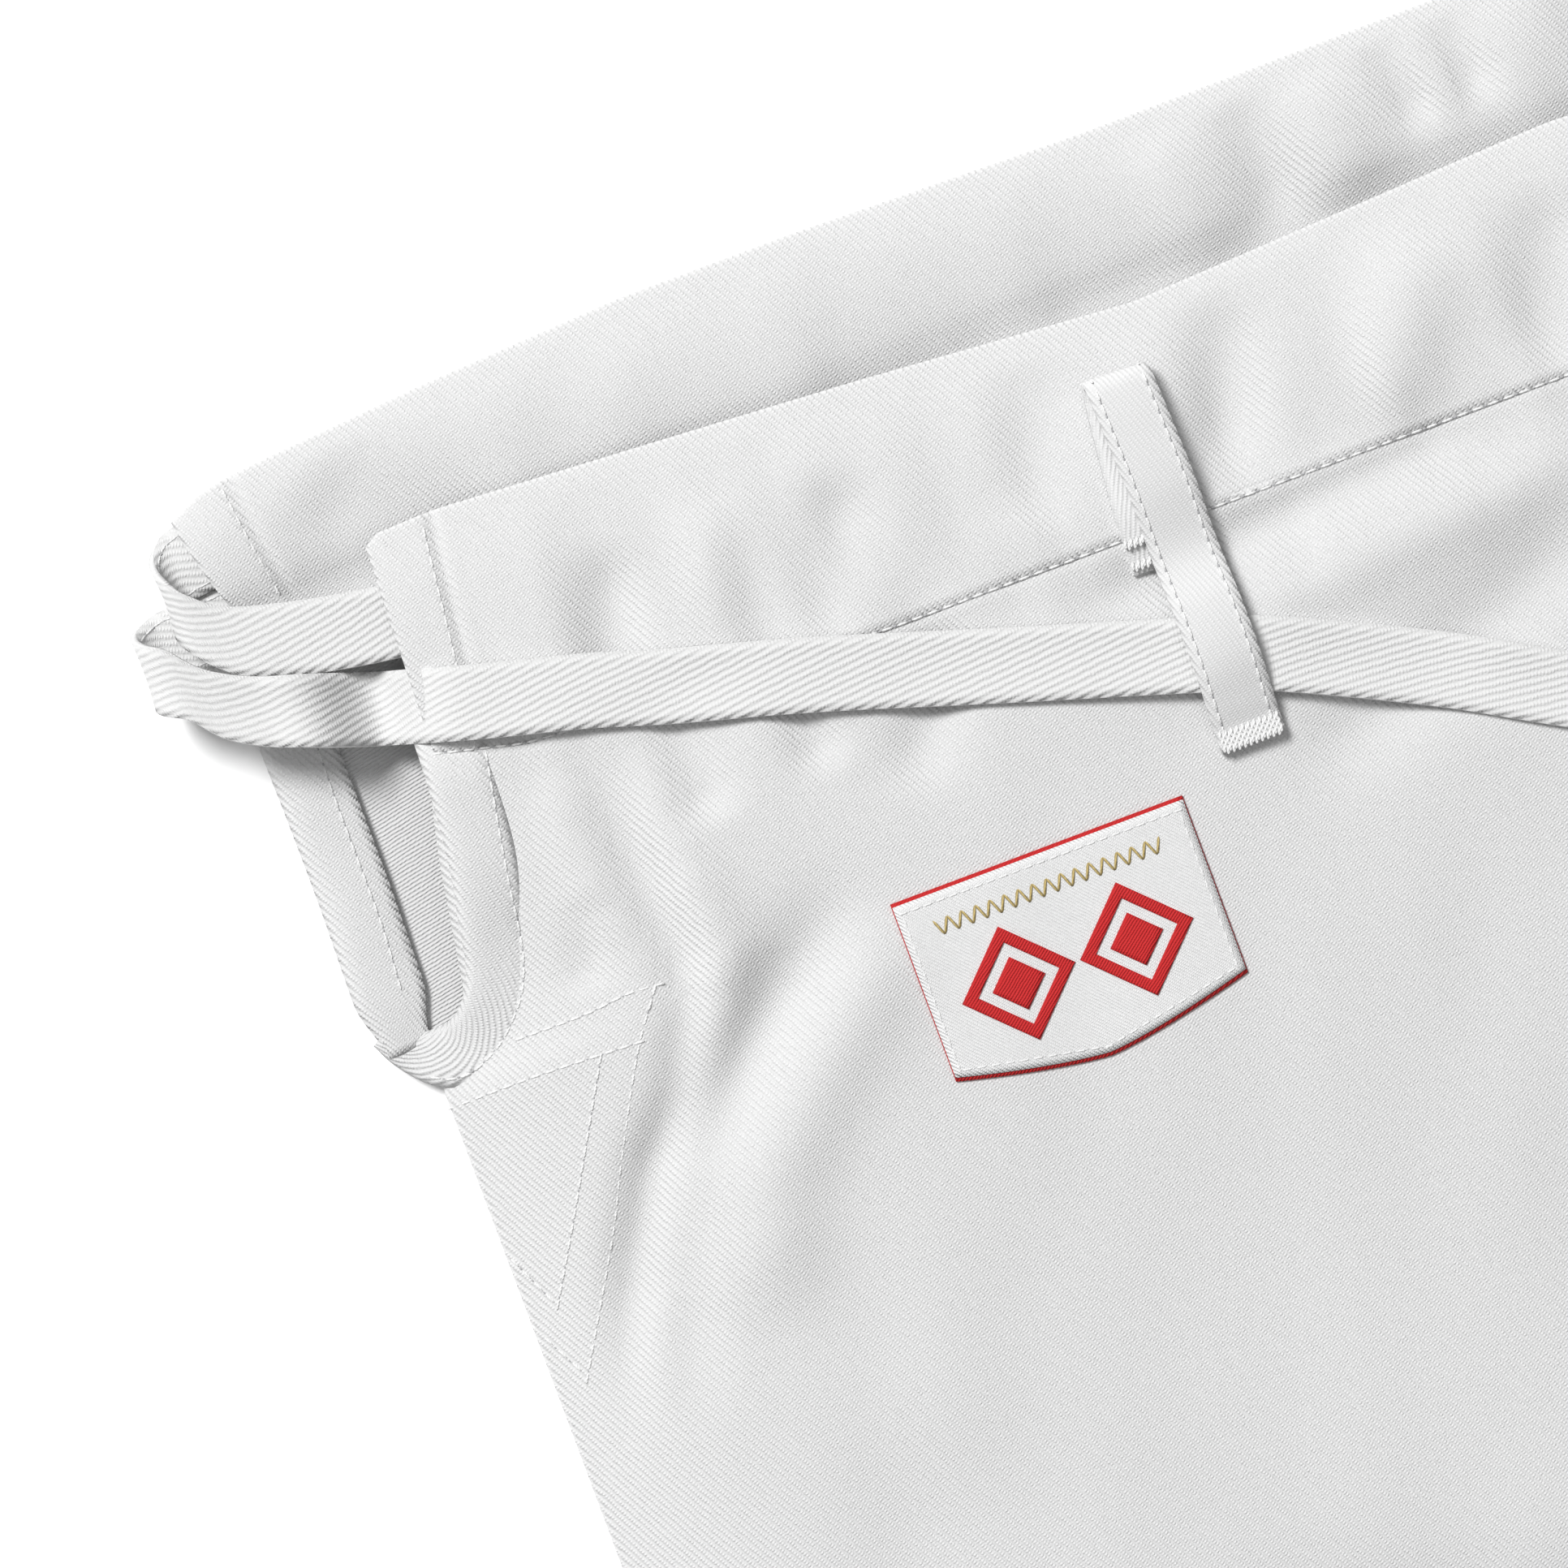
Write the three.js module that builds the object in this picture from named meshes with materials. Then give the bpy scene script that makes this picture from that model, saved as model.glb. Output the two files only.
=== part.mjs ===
// Judo trousers laid flat on their back: a three.js model in millimetres.
// X runs across the trousers, Y from the hems to the waist, Z up from the surface they lie on.
// The origin is on that surface, under the middle of the trousers. Left and right are the wearer's,
// so with the front facing up the left leg is on the side of positive X.
import * as THREE from "three";

// ---- Driving dimensions -------------------------------------------------------------------
const OUTSEAM = 970; // back waist edge to hem
const WAIST_WIDTH = 572; // back waistband laid flat
const RISE = 373; // back waist edge to the crotch
const HEM_INNER = 45; // inner corner of a hem, out from the middle
const HEM_SPREAD = 15; // how far the hem's outer corner stands out past the hip
const CROTCH_HALF = 26; // half the gap the gusset fills where the legs part
const GUSSET_RISE = 88; // height of the gusset's point above the crotch
const KNEE_DROP = 550; // back waist edge to the middle of the knee

const CLOTH = 1.6; // the drill, with its seam allowances
const PUFF = 20.4; // height of the front's underside above the surface underneath
const SEAM_GAP = 0.3; // left between two pieces that are sewn together
const LAID_GAP = 0.6; // left under a piece laid on a rounded part of the front

const CASING_DEPTH = 47; // waist casing, from its folded edge to its stitching
const TUNNEL = 4.4; // height inside a casing, for two tapes one on the other
const FRONT_DROP = 31; // front waist edge below the back one
const FRONT_INSET = 33; // front casing's end, in from the back casing's
const SIDE_STEP = 11; // side of the hip, in from the back casing's end
const SLIT_DEPTH = 134; // back waist edge to the bottom of the side slit
const FACING = { width: 11, thick: 1.2, foot: 14 };

const TAPE = { width: 15, thick: 1.6 }; // the drawcord is a flat woven tape
const TAPE_CLEAR = 1.5; // beside the tape inside a casing, and between two lengths end to end
const HIP_REACH = { inner: 7, outer: 15.5 }; // how far the tape's turns stand out past the casing
const LOOP = { width: 13.5, thick: 1.8, x: 98.8, top: 50, sewn: 88, bottom: 130 };
const TACK = { width: 3.5, thick: 0.6 };
const LABEL = { x: 147, top: 133, width: 62, side: 37.5, point: 6.5, border: 1.4, thick: 0.5 };
const KNEE_PATCH = { top: 440, bottom: 720, margin: 6, thick: 1.2 };
const HIP_PATCH = { top: 131, bottom: 202, width: 47, tail: 6, thick: 1.2 };
const HEM_DEPTH = 30;
const SEAM_STRIP = { width: 10, thick: 0.8 };

// How the front rounds off towards a seam: share of its full height by distance from the edge.
const SHOULDER = [[0, 0], [15, 0.45], [35, 0.8], [60, 1]];

// ---- Levels and lines that follow from them -----------------------------------------------
const { lerp, degToRad, clamp } = THREE.MathUtils;
const topY = OUTSEAM / 2;
const down = (drop) => topY - drop; // a distance below the back waist edge, as a Y
const hemY = down(OUTSEAM);
const hemTopY = hemY + HEM_DEPTH;
const crotchY = down(RISE);
const gussetTopY = crotchY + GUSSET_RISE;
const kneeY = down(KNEE_DROP);
const slitY = down(SLIT_DEPTH);
const backCasingY = down(CASING_DEPTH);
const frontTopY = down(FRONT_DROP);
const frontCasingY = frontTopY - CASING_DEPTH;
const backHalf = WAIST_WIDTH / 2;
const frontHalf = backHalf - FRONT_INSET;
const sideHalf = backHalf - SIDE_STEP;
const frontFace = PUFF + CLOTH; // the front's upper face
const casingHeight = 2 * CLOTH + TUNNEL;
const seamLevel = CLOTH + SEAM_GAP; // the front's underside where it meets the back
const share = (value, from, to) => clamp((value - from) / (to - from), 0, 1);

// Outlines, as distances out from the middle at a height y.
const outer = (y) => lerp(sideHalf + HEM_SPREAD, sideHalf, share(y, hemY, crotchY));
const inner = (y) => lerp(HEM_INNER, CROTCH_HALF, share(y, hemY, crotchY));
const gussetHalf = (y) => CROTCH_HALF * (1 - share(y, crotchY, gussetTopY));
const innerSeam = (y) => SEAM_GAP / 2 + (y < crotchY ? inner(y) : gussetHalf(y));
const slitShare = (y) => share(y, slitY, frontCasingY);
const backEdge = (y) => outer(y) + slitShare(y) * (backHalf - sideHalf);
const frontEdge = (y) => outer(y) + slitShare(y) * (frontHalf - sideHalf);

function shoulder(distance) {
  const next = SHOULDER.findIndex(([at]) => at > distance);
  if (next < 0) return 1;
  if (next === 0) return 0;
  const [[a, low], [b, high]] = [SHOULDER[next - 1], SHOULDER[next]];
  return lerp(low, high, share(distance, a, b));
}

// Height of the front's underside: down on the back at the seams, level in between.
function under(x, y) {
  const side = lerp(shoulder(frontEdge(y) - x), 1, slitShare(y));
  const inside = lerp(shoulder(x - innerSeam(y)), 1, share(y, crotchY, gussetTopY));
  return lerp(seamLevel, PUFF, side * inside);
}

// ---- Helpers ------------------------------------------------------------------------------
const trousers = new THREE.Group();

function cotton(color, roughness) {
  return new THREE.MeshStandardMaterial({ color, roughness, metalness: 0 });
}
const drill = cotton(0xe9e9e8, 0.9);
const tapeCotton = cotton(0xe6e6e4, 0.85);
const thread = cotton(0xf4f4f2, 0.7);
const labelRed = cotton(0xc02420, 0.6);
const labelWhite = cotton(0xececec, 0.5);

function add(name, geometry, finish) {
  const mesh = new THREE.Mesh(geometry, finish.clone());
  mesh.name = name;
  trousers.add(mesh);
}

function mirrored(geometry) {
  const copy = geometry.index ? geometry.toNonIndexed() : geometry.clone();
  const at = copy.getAttribute("position");
  const point = new THREE.Vector3();
  const corners = Array.from({ length: at.count }, (_, i) => point.fromBufferAttribute(at, i).toArray());
  corners.forEach(([x, y, z], i) => {
    const flipped = i % 3 === 1 ? i + 1 : i % 3 === 2 ? i - 1 : i; // keeps the faces outward
    at.setXYZ(flipped, -x, y, z);
  });
  return copy;
}

// Adds a piece made on the wearer's left, and its mirror image on the right.
function addPair(name, geometry, finish) {
  add(`left_${name}`, geometry, finish);
  add(`right_${name}`, mirrored(geometry), finish);
}

// A closed slab: a box divided along its first two sides, each corner moved by place(i, j, w).
function slab(alongCount, acrossCount, place) {
  const geometry = new THREE.BoxGeometry(1, 1, 1, alongCount, acrossCount, 1);
  const at = geometry.getAttribute("position");
  for (let n = 0; n < at.count; n += 1) {
    const i = Math.round((at.getX(n) + 0.5) * alongCount);
    const j = Math.round((at.getY(n) + 0.5) * acrossCount);
    const p = place(i, j, Math.round(at.getZ(n) + 0.5));
    at.setXYZ(n, p.x, p.y, p.z);
  }
  return geometry;
}

// Heights through every given level, with extra ones so that no step is longer than `step`.
function rowsThrough(levels, step = 60) {
  const rows = [levels[0]];
  levels.slice(1).forEach((to) => {
    const from = rows[rows.length - 1];
    const count = Math.ceil((to - from) / step);
    for (let i = 1; i <= count; i += 1) rows.push(lerp(from, to, i / count));
  });
  return rows;
}

// A piece of cloth: rows are heights, columns(y) the distances out, floor(x, y) what it lies on.
function cloth(rows, columns, floor, thick = CLOTH) {
  return slab(columns(rows[0]).length - 1, rows.length - 1, (i, j, w) => {
    const y = rows[j];
    const x = columns(y)[i];
    return new THREE.Vector3(x, y, floor(x, y) + w * thick);
  });
}

// A flat tape along a route of { x, drop, z, turn }; turn is the way its width points in plan.
function tape(route, { width, thick }, steps) {
  const path = new THREE.CatmullRomCurve3(route.map((p) => new THREE.Vector3(p.x, down(p.drop), p.z)));
  const turns = new THREE.CatmullRomCurve3(route.map((p) => new THREE.Vector3(p.turn, 0, 0)));
  return slab(steps, 1, (i, j, w) => {
    const along = path.getTangent(i / steps);
    const turn = degToRad(turns.getPoint(i / steps).x);
    const across = new THREE.Vector3(Math.cos(turn), Math.sin(turn), 0);
    across.addScaledVector(along, -across.dot(along)).normalize();
    const face = new THREE.Vector3().crossVectors(along, across);
    return path
      .getPoint(i / steps)
      .addScaledVector(across, (j - 0.5) * width)
      .addScaledVector(face, (w - 0.5) * thick);
  });
}

const onSurface = () => 0;
const onFront = (lift) => (x, y) => under(x, y) + CLOTH + lift;
const rounding = SHOULDER.map(([at]) => at);
const panelColumns = (y) => [
  ...rounding.map((at) => innerSeam(y) + at),
  ...rounding.map((at) => frontEdge(y) - at).reverse(),
];

// ---- Hips and thighs ------------------------------------------------------------------------
const hipLevels = [kneeY + SEAM_GAP / 2, crotchY, gussetTopY, slitY];
const backRows = rowsThrough([...hipLevels, frontCasingY, backCasingY - SEAM_GAP]);
const frontRows = [...rowsThrough(hipLevels), ...rowsThrough([slitY, frontCasingY - SEAM_GAP], 8).slice(1)];
addPair("thigh_back", cloth(backRows, (y) => [innerSeam(y), backEdge(y)], onSurface), drill);
addPair("thigh_front", cloth(frontRows, panelColumns, under), drill);

// ---- Shins and hems ---------------------------------------------------------------------------
const shinRows = rowsThrough([hemTopY + SEAM_GAP, kneeY - SEAM_GAP / 2]);
addPair("shin_back", cloth(shinRows, (y) => [innerSeam(y), outer(y)], onSurface), drill);
addPair("shin_front", cloth(shinRows, panelColumns, under), drill);

// The hem is turned up all round: a flattened ring across the leg.
function hemRing() {
  const outline = (inset) => {
    const columns = panelColumns(hemTopY);
    const last = columns.length - 1;
    const roof = columns.map((x, i) => {
      const inward = i === 0 ? inset : i === last ? -inset : 0;
      return new THREE.Vector2(x + inward, Math.max(under(x, hemTopY), 2 * seamLevel) + CLOTH - inset);
    });
    const [a, b] = [roof[0].x, roof[last].x];
    return [new THREE.Vector2(a, inset), new THREE.Vector2(b, inset), ...roof.reverse()];
  };
  const ring = new THREE.Shape(outline(0));
  ring.holes.push(new THREE.Path(outline(CLOTH)));
  const geometry = new THREE.ExtrudeGeometry(ring, { depth: HEM_DEPTH, bevelEnabled: false });
  return geometry.rotateX(Math.PI / 2).translate(0, hemTopY, 0);
}
addPair("hem", hemRing(), drill);

// ---- Waist casings: the top edge turned down inside and stitched, open at both ends ----------
const yzToWorld = new THREE.Matrix4().makeBasis(
  new THREE.Vector3(0, 1, 0),
  new THREE.Vector3(0, 0, 1),
  new THREE.Vector3(1, 0, 0),
);
function casing(half, lowY, floorZ) {
  const outline = (inset) => [
    new THREE.Vector2(lowY + inset, floorZ + inset),
    new THREE.Vector2(lowY + CASING_DEPTH - inset, floorZ + inset),
    new THREE.Vector2(lowY + CASING_DEPTH - inset, floorZ + casingHeight - inset),
    new THREE.Vector2(lowY + inset, floorZ + casingHeight - inset),
  ];
  const profile = new THREE.Shape(outline(0));
  profile.holes.push(new THREE.Path(outline(CLOTH)));
  const geometry = new THREE.ExtrudeGeometry(profile, { depth: 2 * half, bevelEnabled: false });
  return geometry.applyMatrix4(yzToWorld).translate(-half, 0, 0);
}
add("back_casing", casing(backHalf, backCasingY, 0), drill);
add("front_casing", casing(frontHalf, frontCasingY, frontFace - casingHeight), drill);

// ---- Diamond gusset, folded in half under the crotch -------------------------------------------
function gusset() {
  const fold = (CLOTH + SEAM_GAP) / 2; // radius of the fold, at the middle of the cloth
  const turns = 6;
  const tip = gussetTopY - 4;
  const line = [
    { y: tip, z: under(0, tip) + CLOTH / 2, dy: -1, dz: 0 },
    { y: crotchY, z: seamLevel + CLOTH / 2, dy: -1, dz: 0 },
  ];
  for (let i = 1; i < turns; i += 1) {
    const a = (Math.PI * i) / turns;
    const z = CLOTH / 2 + fold * (1 + Math.cos(a));
    line.push({ y: crotchY - fold * Math.sin(a), z, dy: -Math.cos(a), dz: -Math.sin(a) });
  }
  line.push({ y: crotchY, z: CLOTH / 2, dy: 1, dz: 0 }, { y: tip, z: CLOTH / 2, dy: 1, dz: 0 });
  return slab(line.length - 1, 1, (i, j, w) => {
    const { y, z, dy, dz } = line[i];
    const half = gussetHalf(y) - SEAM_GAP / 2;
    const off = (0.5 - w) * CLOTH;
    return new THREE.Vector3((2 * j - 1) * half, y - dz * off, z + dy * off);
  });
}
add("crotch_gusset", gusset(), drill);

// ---- Seams down the middle of the front and back, inside ---------------------------------------
function seamStrip(fromY, toY, floorZ) {
  const { width, thick } = SEAM_STRIP;
  const geometry = new THREE.BoxGeometry(width, toY - fromY, thick);
  return geometry.translate(0, (fromY + toY) / 2, floorZ + thick / 2);
}
const stripFoot = gussetTopY + SEAM_GAP;
add("centre_back_seam", seamStrip(stripFoot, backCasingY - SEAM_GAP, seamLevel), drill);
const frontStripZ = PUFF - SEAM_GAP - SEAM_STRIP.thick;
add("centre_front_seam", seamStrip(stripFoot, frontCasingY - SEAM_GAP, frontStripZ), drill);

// ---- Side slits: a strip of facing along each edge ----------------------------------------------
const facingFoot = slitY + FACING.foot;
const backFacingRows = rowsThrough([facingFoot, frontCasingY, backCasingY - SEAM_GAP]);
const backFacingColumns = (y) => [backEdge(y) - FACING.width, backEdge(y)];
addPair("slit_back_facing",
  cloth(backFacingRows, backFacingColumns, () => seamLevel, FACING.thick), drill);
const frontFacingRows = rowsThrough([facingFoot, frontCasingY - SEAM_GAP], 7);
const frontFacingColumns = (y) => [frontEdge(y) - FACING.width, frontEdge(y)];
addPair("slit_front_facing",
  cloth(frontFacingRows, frontFacingColumns, onFront(LAID_GAP), FACING.thick), drill);

// ---- Patches -----------------------------------------------------------------------------------
// The hip patch narrows downwards to a tail on the side of the leg.
const hipPatchRows = rowsThrough([down(HIP_PATCH.bottom), slitY - SEAM_GAP], 9);
function hipPatchColumns(y) {
  const width = lerp(HIP_PATCH.tail, HIP_PATCH.width, share(y, down(HIP_PATCH.bottom), slitY));
  return Array.from({ length: 9 }, (_, i) => outer(y) - width * (1 - i / 8));
}
addPair("hip_patch", cloth(hipPatchRows, hipPatchColumns, onFront(LAID_GAP), HIP_PATCH.thick), drill);

function kneePatchColumns(y) {
  const columns = panelColumns(y);
  columns[0] += KNEE_PATCH.margin;
  columns[columns.length - 1] -= KNEE_PATCH.margin;
  return columns;
}
const upperKneeRows = rowsThrough([kneeY + SEAM_GAP / 2, down(KNEE_PATCH.top)]);
const lowerKneeRows = rowsThrough([down(KNEE_PATCH.bottom), kneeY - SEAM_GAP / 2]);
addPair("knee_patch_upper",
  cloth(upperKneeRows, kneePatchColumns, onFront(SEAM_GAP), KNEE_PATCH.thick), drill);
addPair("knee_patch_lower",
  cloth(lowerKneeRows, kneePatchColumns, onFront(SEAM_GAP), KNEE_PATCH.thick), drill);

// ---- Woven label, on the wearer's right --------------------------------------------------------
function labelLayer(inset, floorZ) {
  const half = LABEL.width / 2 - inset;
  const top = -inset;
  const shoulderY = -LABEL.side + inset / 3; // keeps the border even along the pointed edge
  const outline = new THREE.Shape([
    new THREE.Vector2(-half, top),
    new THREE.Vector2(-half, shoulderY),
    new THREE.Vector2(0, shoulderY - LABEL.point),
    new THREE.Vector2(half, shoulderY),
    new THREE.Vector2(half, top),
  ]);
  const geometry = new THREE.ExtrudeGeometry(outline, { depth: LABEL.thick, bevelEnabled: false });
  return geometry.translate(-LABEL.x, down(LABEL.top), floorZ);
}
const labelZ = frontFace + SEAM_GAP;
add("label_backing", labelLayer(0, labelZ), labelRed);
add("label_face", labelLayer(LABEL.border, labelZ + LABEL.thick + SEAM_GAP), labelWhite);

// ---- Belt loops: a strip sewn at the casing, folded back down over the drawcord ----------------
const loopZ = frontFace + SEAM_GAP + LOOP.thick / 2;
const loopTopZ = loopZ + LOOP.thick + 2 * SEAM_GAP;
const foldRadius = (loopTopZ - loopZ) / 2;
const loopPoint = (drop, z) => ({ x: LOOP.x, drop, z, turn: 0 });
const foldDrop = LOOP.top + foldRadius + LOOP.thick / 2;
const loopRoute = [
  loopPoint(LOOP.sewn, loopZ),
  loopPoint((LOOP.sewn + foldDrop) / 2, loopZ),
  loopPoint(foldDrop, loopZ),
  ...[0.25, 0.5, 0.75].map((t) => loopPoint(
    foldDrop - foldRadius * Math.sin(Math.PI * t),
    loopZ + foldRadius * (1 - Math.cos(Math.PI * t)),
  )),
  loopPoint(foldDrop, loopTopZ),
  loopPoint(foldDrop + 16, loopTopZ),
  loopPoint(foldDrop + 42, loopTopZ),
  loopPoint(LOOP.bottom - 9, loopTopZ),
  loopPoint(LOOP.bottom - 4, loopZ),
  loopPoint(LOOP.bottom, loopZ),
];
addPair("belt_loop", tape(loopRoute, LOOP, 44), drill);

const tackZ = loopZ + (LOOP.thick + TACK.thick) / 2 + LAID_GAP;
const tackShape = new THREE.BoxGeometry(LOOP.width - 1, TACK.width, TACK.thick);
addPair("bar_tack", tackShape.translate(LOOP.x, down(LOOP.bottom - TACK.width / 2), tackZ), thread);

// ---- Drawcord: twice through the back casing, once through the front one ----------------------
const lowLevel = CLOTH + SEAM_GAP + TAPE.thick / 2;
const highLevel = lowLevel + TAPE.thick + SEAM_GAP;
const frontLevel = frontFace - casingHeight / 2;
const laidLevel = frontFace + SEAM_GAP + TAPE.thick / 2;
// The two runs leave the back casing near its upper and lower edges.
const upperRun = CLOTH + TAPE_CLEAR + TAPE.width / 2;
const lowerRun = CASING_DEPTH - upperRun;
const runEnd = backHalf - 2;
const frontCasingDrop = FRONT_DROP + CASING_DEPTH;
const frontMiddleDrop = FRONT_DROP + CASING_DEPTH / 2;

const backRun = (z, rightDrop, leftDrop) => tape([
  { x: -runEnd, drop: rightDrop, z, turn: 90 },
  { x: 0, drop: (rightDrop + leftDrop) / 2, z, turn: 90 },
  { x: runEnd, drop: leftDrop, z, turn: 90 },
], TAPE, 16);
add("drawcord_back_low", backRun(lowLevel, lowerRun, upperRun), tapeCotton);
add("drawcord_back_high", backRun(highLevel, upperRun, lowerRun), tapeCotton);

// Half a turn round the hip, from inside the back casing up to the level of the front.
// reach is how far out the middle of the tape goes.
function hipTurn(reach, fromZ, toZ, fromDrop, toDrop, toTurn) {
  const radius = (toZ - fromZ) / 2;
  const centreX = reach - radius;
  const steps = 6;
  const start = { x: runEnd + TAPE_CLEAR, drop: fromDrop, z: fromZ, turn: 90 };
  const arc = Array.from({ length: steps + 1 }, (_, i) => {
    const a = (Math.PI * i) / steps;
    const t = i / steps;
    return {
      x: centreX + radius * Math.sin(a),
      drop: lerp(fromDrop, toDrop, t * t),
      z: fromZ + radius * (1 - Math.cos(a)),
      turn: lerp(90, toTurn, t),
    };
  });
  return [start, ...arc];
}
const flipped = (route) => route.map((p) => ({ ...p, x: -p.x, turn: 180 - p.turn })).reverse();

// Front run: out of the back casing on the left, through the front casing, and in again on the right.
function innerLoop(fromZ) {
  return [
    ...hipTurn(backHalf + HIP_REACH.inner, fromZ, frontLevel, upperRun, frontCasingDrop - 42, 96),
    { x: backHalf - 16, drop: FRONT_DROP + 12, z: frontLevel, turn: 98 },
    { x: frontHalf, drop: FRONT_DROP + 16, z: frontLevel, turn: 95 },
    { x: frontHalf / 2, drop: frontMiddleDrop, z: frontLevel, turn: 91 },
  ];
}
const middle = { x: 0, drop: frontMiddleDrop, z: frontLevel, turn: 90 };
const frontRoute = [...innerLoop(lowLevel), middle, ...flipped(innerLoop(highLevel))];
add("drawcord_front", tape(frontRoute, TAPE, 74), tapeCotton);

// Free ends: out of the back casing, round the hip, through the belt loop, crossed at the middle.
function freeEnd(fromZ, lift) {
  const laid = (x, drop, turn, raise = 0) => ({ x, drop, z: laidLevel + raise, turn });
  return [
    ...hipTurn(backHalf + HIP_REACH.outer, fromZ, laidLevel, lowerRun, frontCasingDrop - 30, 105),
    laid(backHalf - 7, frontCasingDrop - 24.5, 107),
    laid(frontHalf - 22, frontCasingDrop - 9, 107),
    laid((frontHalf + LOOP.x) / 2, frontCasingDrop + 7, 107),
    laid(LOOP.x + 6, LOOP.bottom - 22.5, 108),
    laid(LOOP.x - 11, LOOP.bottom - 16, 112),
    laid(37, 140, 117, lift),
    laid(0, 160, 120, lift),
    laid(-28, 183, 135, lift),
    laid(-43, 215, 160),
    laid(-46, 260, 178),
    laid(-45, 320, 180),
  ];
}
const crossingLift = TAPE.thick + SEAM_GAP; // the right end crosses on top of the left one
const tip = { width: TAPE.width, thick: 2.2 };
const tipRoute = [320.3, 326, 332].map((drop) => (
  { x: -45, drop, z: frontFace + SEAM_GAP + tip.thick / 2, turn: 180 }
));
add("left_drawcord_end", tape(freeEnd(highLevel, 0), TAPE, 72), tapeCotton);
add("right_drawcord_end", mirrored(tape(freeEnd(lowLevel, crossingLift), TAPE, 72)), tapeCotton);
addPair("drawcord_tip", tape(tipRoute, tip, 2), thread);

export default trousers;
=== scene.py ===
# %% [markdown]
# # Judo trousers laid flat on their back
# The trousers are cotton drill: two leg cloths that wrap round the side with no seam, a waist casing in
# front and behind, and one flat cord that runs through both casings and out at the hips. The packed
# model gives where everything is. This script makes how it looks: cloth as fine meshes with folds,
# tape as swept bands, thread as small beads of geometry, and weaves as node materials.

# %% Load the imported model
import math

import bpy
import numpy as np
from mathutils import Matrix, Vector
from mathutils.bvhtree import BVHTree


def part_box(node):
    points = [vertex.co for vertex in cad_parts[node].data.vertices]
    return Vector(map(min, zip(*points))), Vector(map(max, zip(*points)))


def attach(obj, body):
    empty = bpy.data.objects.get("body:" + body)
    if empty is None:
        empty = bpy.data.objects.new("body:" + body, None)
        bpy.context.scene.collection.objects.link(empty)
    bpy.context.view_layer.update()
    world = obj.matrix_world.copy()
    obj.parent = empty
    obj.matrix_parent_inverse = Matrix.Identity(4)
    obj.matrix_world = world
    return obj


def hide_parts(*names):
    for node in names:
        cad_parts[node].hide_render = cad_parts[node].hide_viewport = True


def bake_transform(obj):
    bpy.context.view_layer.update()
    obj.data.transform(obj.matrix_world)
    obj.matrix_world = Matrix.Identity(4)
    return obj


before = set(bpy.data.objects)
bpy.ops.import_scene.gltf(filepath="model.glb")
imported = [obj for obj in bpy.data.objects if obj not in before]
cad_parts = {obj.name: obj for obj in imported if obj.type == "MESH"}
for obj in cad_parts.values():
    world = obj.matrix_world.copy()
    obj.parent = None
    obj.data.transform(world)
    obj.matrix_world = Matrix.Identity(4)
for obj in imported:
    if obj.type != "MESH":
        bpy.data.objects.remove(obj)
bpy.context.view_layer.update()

MM = 0.001
SIDES = {"left": 1, "right": -1}
top_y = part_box("back_casing")[1][1] / MM

# %% [markdown]
# ## Working units
# A tailor measures trousers down from the waist and out from the middle, so the shapes below are drawn
# in millimetres as `out` (from the centre line), `drop` (below the back waist edge) and `z` (height).
# One function turns them into the model's metres, and a side of -1 mirrors them to the wearer's right.

# %% From a tailor's millimetres to the model's metres
def to_row(side, out, drop, z):
    out, drop, z = np.broadcast_arrays(out, drop, z)
    return np.stack([side * out * MM, (top_y - drop) * MM, z * MM], axis=-1)


def weave_map(across, down):
    """The UV map, in metres, of cloth that lies flat: places across it and down it in millimetres."""
    return np.stack(np.broadcast_arrays(across * MM, -down * MM), axis=-1)


def smooth(t):
    t = np.clip(t, 0, 1)
    return t * t * (3 - 2 * t)


def noise(x, y, seed):
    """Soft bumps between -1 and 1, about one to a unit."""
    ix, iy = np.floor(x).astype(np.int64), np.floor(y).astype(np.int64)
    fx, fy = smooth(x - ix), smooth(y - iy)

    def corner(i, j):
        n = (i * 374761393 + j * 668265263 + seed * 982451653) & 0x7FFFFFFF
        n = ((n ^ (n >> 13)) * 1274126177) & 0x7FFFFFFF
        return ((n ^ (n >> 16)) & 0xFFFF) / 32767.5 - 1

    low = corner(ix, iy) * (1 - fx) + corner(ix + 1, iy) * fx
    high = corner(ix, iy + 1) * (1 - fx) + corner(ix + 1, iy + 1) * fx
    return low * (1 - fy) + high * fy


def along_line(out, drop, start, end):
    """How far points are across from a line, and how far along it they are, from 0 to 1."""
    line = np.subtract(end, start)
    length = np.hypot(*line)
    dx, dy = out - start[0], drop - start[1]
    along = (dx * line[0] + dy * line[1]) / length**2
    across = (dx * line[1] - dy * line[0]) / length
    return across, along


def crease(out, drop, start, end, width, height):
    """A ridge or, with a negative height, a valley that fades at both ends of a line."""
    across, along = along_line(out, drop, start, end)
    fade = smooth(along / 0.3 + 0.15) * smooth((1 - along) / 0.3 + 0.15)
    return height * fade * np.exp(-((across / width) ** 2))


def fold(out, drop, points, width, height):
    """Like a crease, but along a bent line."""
    nearest = np.full(np.broadcast(out, drop).shape, 1e9)
    place = np.zeros_like(nearest)
    count = len(points) - 1
    for i, (start, end) in enumerate(zip(points[:-1], points[1:])):
        _, along = along_line(out, drop, start, end)
        t = np.clip(along, 0, 1)
        away = np.hypot(out - start[0] - t * (end[0] - start[0]), drop - start[1] - t * (end[1] - start[1]))
        closer = away < nearest
        nearest = np.where(closer, away, nearest)
        place = np.where(closer, (i + t) / count, place)
    fade = smooth(place / 0.22) * smooth((1 - place) / 0.22)
    return height * fade * np.exp(-((nearest / width) ** 2))


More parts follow.
